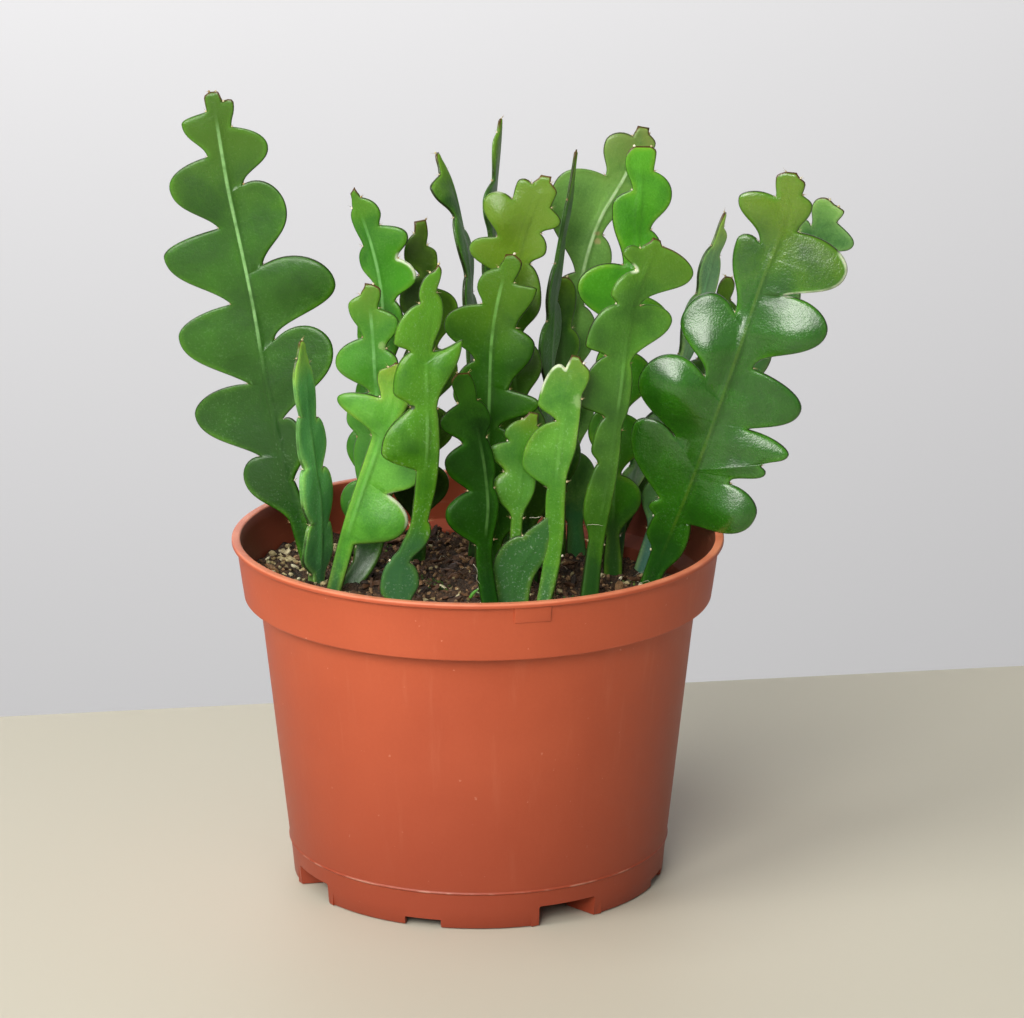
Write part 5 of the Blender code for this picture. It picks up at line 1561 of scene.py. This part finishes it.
def buildAreoles():
    rng = random.Random(areole["seed"])
    wool, bristles = [], []
    for name, blade in [*blades.items(), ("oldPad", oldPad), ("padShoot", padShoot)]:
        for place, away, out, height in areolePlaces(name, blade):
            if height < areole["lowest"]:
                continue
            away = away / np.linalg.norm(away)
            size = areole["wool"] * rng.uniform(*areole["woolSpread"])
            wool.append((place + away * size * 0.25, size, rng.random()))
            for _ in range(rng.randint(2, areole["count"])):
                lean = away + out * rng.uniform(-areole["splay"], areole["splay"]) + np.array(
                    [rng.uniform(-areole["stray"], areole["stray"]) for _ in range(3)])
                turn = Vector(lean).to_track_quat("Z", "Y").to_euler()
                length = areole["bristle"] * rng.uniform(*areole["bristleSpread"])
                if (place[2] + length * max(lean[2], 0) / np.linalg.norm(lean)) * mm > cadHigh[2]:
                    length *= areole["shortened"]    # stays within the part's height
                bristles.append((place, (areole["thick"], areole["thick"], length), tuple(turn),
                                 rng.random()))
    shape, faces = lumpShape(41)
    woolSkin = chipMaterial("areole_wool", areole["woolTones"], areole["woolRough"])
    tufts = scatter("areole_wool", shape, faces, [w[0] for w in wool],
                    [np.array([w[1]] * 3) for w in wool],
                    [(rng.uniform(0, 6), rng.uniform(0, 6), 0) for _ in wool],
                    [w[2] for w in wool], woolSkin)
    shape, faces = bristleShape()
    bristleSkin = chipMaterial("areole_bristles", areole["bristleTones"], areole["bristleRough"])
    spines = scatter("areole_bristles", shape, faces, [b[0] for b in bristles],
                     [np.array(b[1]) for b in bristles], [b[2] for b in bristles],
                     [b[3] for b in bristles], bristleSkin)
    smooth(tufts)
    return [tufts, spines]


def seedOf(name):
    # each blade's own place in the noise
    return 5.0 + 1.7 * (list(blades) + ["oldPad", "padShoot"]).index(name)


def buildStems():
    made = []
    for name, blade in blades.items():
        sheet = bladeSheet(name + "_blade", blade, seedOf(name))
        if name == "stem_front_centre":
            extra = [bladeSheet(part, data, seedOf(part))
                     for part, data in (("oldPad", oldPad), ("padShoot", padShoot))]
            sheet = join(sheet, *extra)
        dress(sheet, skinMaterial(name))
        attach(sheet, "root")
        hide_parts(name)
        made.append(sheet)
    return made


stems = buildStems()
print("stems:", len(stems))

terracotta = buildPot()
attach(terracotta, "root")
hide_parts("pot")
print("pot made")

mix = buildSoil()
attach(mix, "root")
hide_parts("soil")
for piece in buildChips():
    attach(piece, "root")
for piece in buildAreoles():
    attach(piece, "root")
for piece, kind in ((buildHairs(), "potting_mix"), (buildSeedling(), "cactus_stem"),
                    (buildMoss(), "potting_mix"), (buildCork(), "cactus_stem")):
    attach(piece, "root")
print("soil, areoles and fine things made")


# Floor, light and camera. The camera's numbers come from a fit to the pot's rims and foot.

stage = {
    "floor": (191, 186, 169), "wall": (228, 227, 228), "sky": (226, 228, 232), "skyPower": 0.22,
    "floorDrop": -0.0003, "floorSide": 4, "floorFront": -5, "wallSide": 7, "wallPlace": 3.4,
    "wallHeights": (-2.5, 4.5), "floorRough": 0.6, "wallRough": 0.9,
    "picture": (1024, 1018),
    "backEdge": ((0, 716), (1024, 665)),    # two points of the picture on the floor's far edge
    "cameraPlace": (-0.0105, -1.49021, 0.54648), "cameraTilt": 15.76, "cameraTurn": -0.44,
    "lens": 162.515, "sensor": 36, "clip": (0.05, 30),
}
# place, target, size, power and colour of each light
lights = {
    "key": ((-0.55, -1.9, 1.22), (0, 0, 0.12), (1.0, 1.0), 42, (1, 0.985, 0.95)),
    "side": ((-1.7, -1.15, 1.4), (0, 0, 0.12), (1.2, 1.0), 34, (1, 0.985, 0.95)),
    "fill": ((1.3, -1.9, 0.9), (0, 0, 0.12), (1.2, 1.2), 2.0, (0.95, 0.98, 1)),
    "top": ((-0.5, -0.2, 1.6), (0, 0, 0.1), (0.8, 0.8), 7, (1, 1, 1)),
    "wash": ((-0.75, 1.4, 2.0), (-0.55, 3.4, 1.3), (2.0, 1.0), 118, (1, 1, 1)),
}


def stageMaterial(name, rgb, rough):
    material, _, shader = newMaterial(name)
    setConstants(shader, Base_Color=colour(*rgb), Roughness=rough, Specular_IOR_Level=0.25)
    return material


def addPlane(name, corners, material):
    item = added(name, bpy.ops.mesh.primitive_plane_add, size=1)
    coords = getCoords(item)
    order = [corners[(0 if y < 0 else 2) + (0 if x < 0 else 1)] for x, y, _ in coords]
    setCoords(item, order)
    item.data.materials.append(material)
    return item


def addArea(name, place, target, size, power, rgb):
    light = added(name, bpy.ops.object.light_add, type="AREA", location=place)
    light.rotation_euler = (Vector(target) - Vector(place)).to_track_quat("-Z", "Y").to_euler()
    light.data.shape = "RECTANGLE"
    light.data.size, light.data.size_y = size
    light.data.energy = power
    light.data.color = rgb
    return light


camera = added("camera", bpy.ops.object.camera_add, location=stage["cameraPlace"],
               rotation=(math.radians(90 - stage["cameraTilt"]), 0,
                         math.radians(stage["cameraTurn"])))
camera.data.sensor_width, camera.data.lens = stage["sensor"], stage["lens"]
camera.data.clip_start, camera.data.clip_end = stage["clip"]
bpy.context.scene.camera = camera

floorSkin = stageMaterial("floor_paint", stage["floor"], stage["floorRough"])
wallSkin = stageMaterial("wall_paint", stage["wall"], stage["wallRough"])


def onFloor(px, py):
    # where the line of sight through a point of the picture meets the floor
    wide, high = stage["picture"]
    focal = stage["lens"] / stage["sensor"] * wide
    sight = Vector(((px - wide / 2) / focal, (high / 2 - py) / focal, -1))
    ray = camera.matrix_world.to_3x3() @ sight
    start = camera.matrix_world.translation
    return start + ray * (-start.z / ray.z)


bpy.context.view_layer.update()
left, right = (onFloor(*point) for point in stage["backEdge"])
slope = (right.y - left.y) / (right.x - left.x)
sides = (-stage["floorSide"], stage["floorSide"])
addPlane("floor", [(x, stage["floorFront"], stage["floorDrop"]) for x in sides]
         + [(x, left.y + (x - left.x) * slope, stage["floorDrop"]) for x in sides], floorSkin)
addPlane("wall", [(x, stage["wallPlace"], z) for z in stage["wallHeights"]
                  for x in (-stage["wallSide"], stage["wallSide"])], wallSkin)
for name, values in lights.items():
    addArea(name, *values)

world = bpy.data.worlds.new("studio")
bpy.context.scene.world = world
world.use_nodes = True
setConstants(world.node_tree.nodes["Background"], Color=colour(*stage["sky"]),
             Strength=stage["skyPower"])
bpy.context.scene.view_settings.view_transform = "Standard"
bpy.context.scene.view_settings.look = "None"
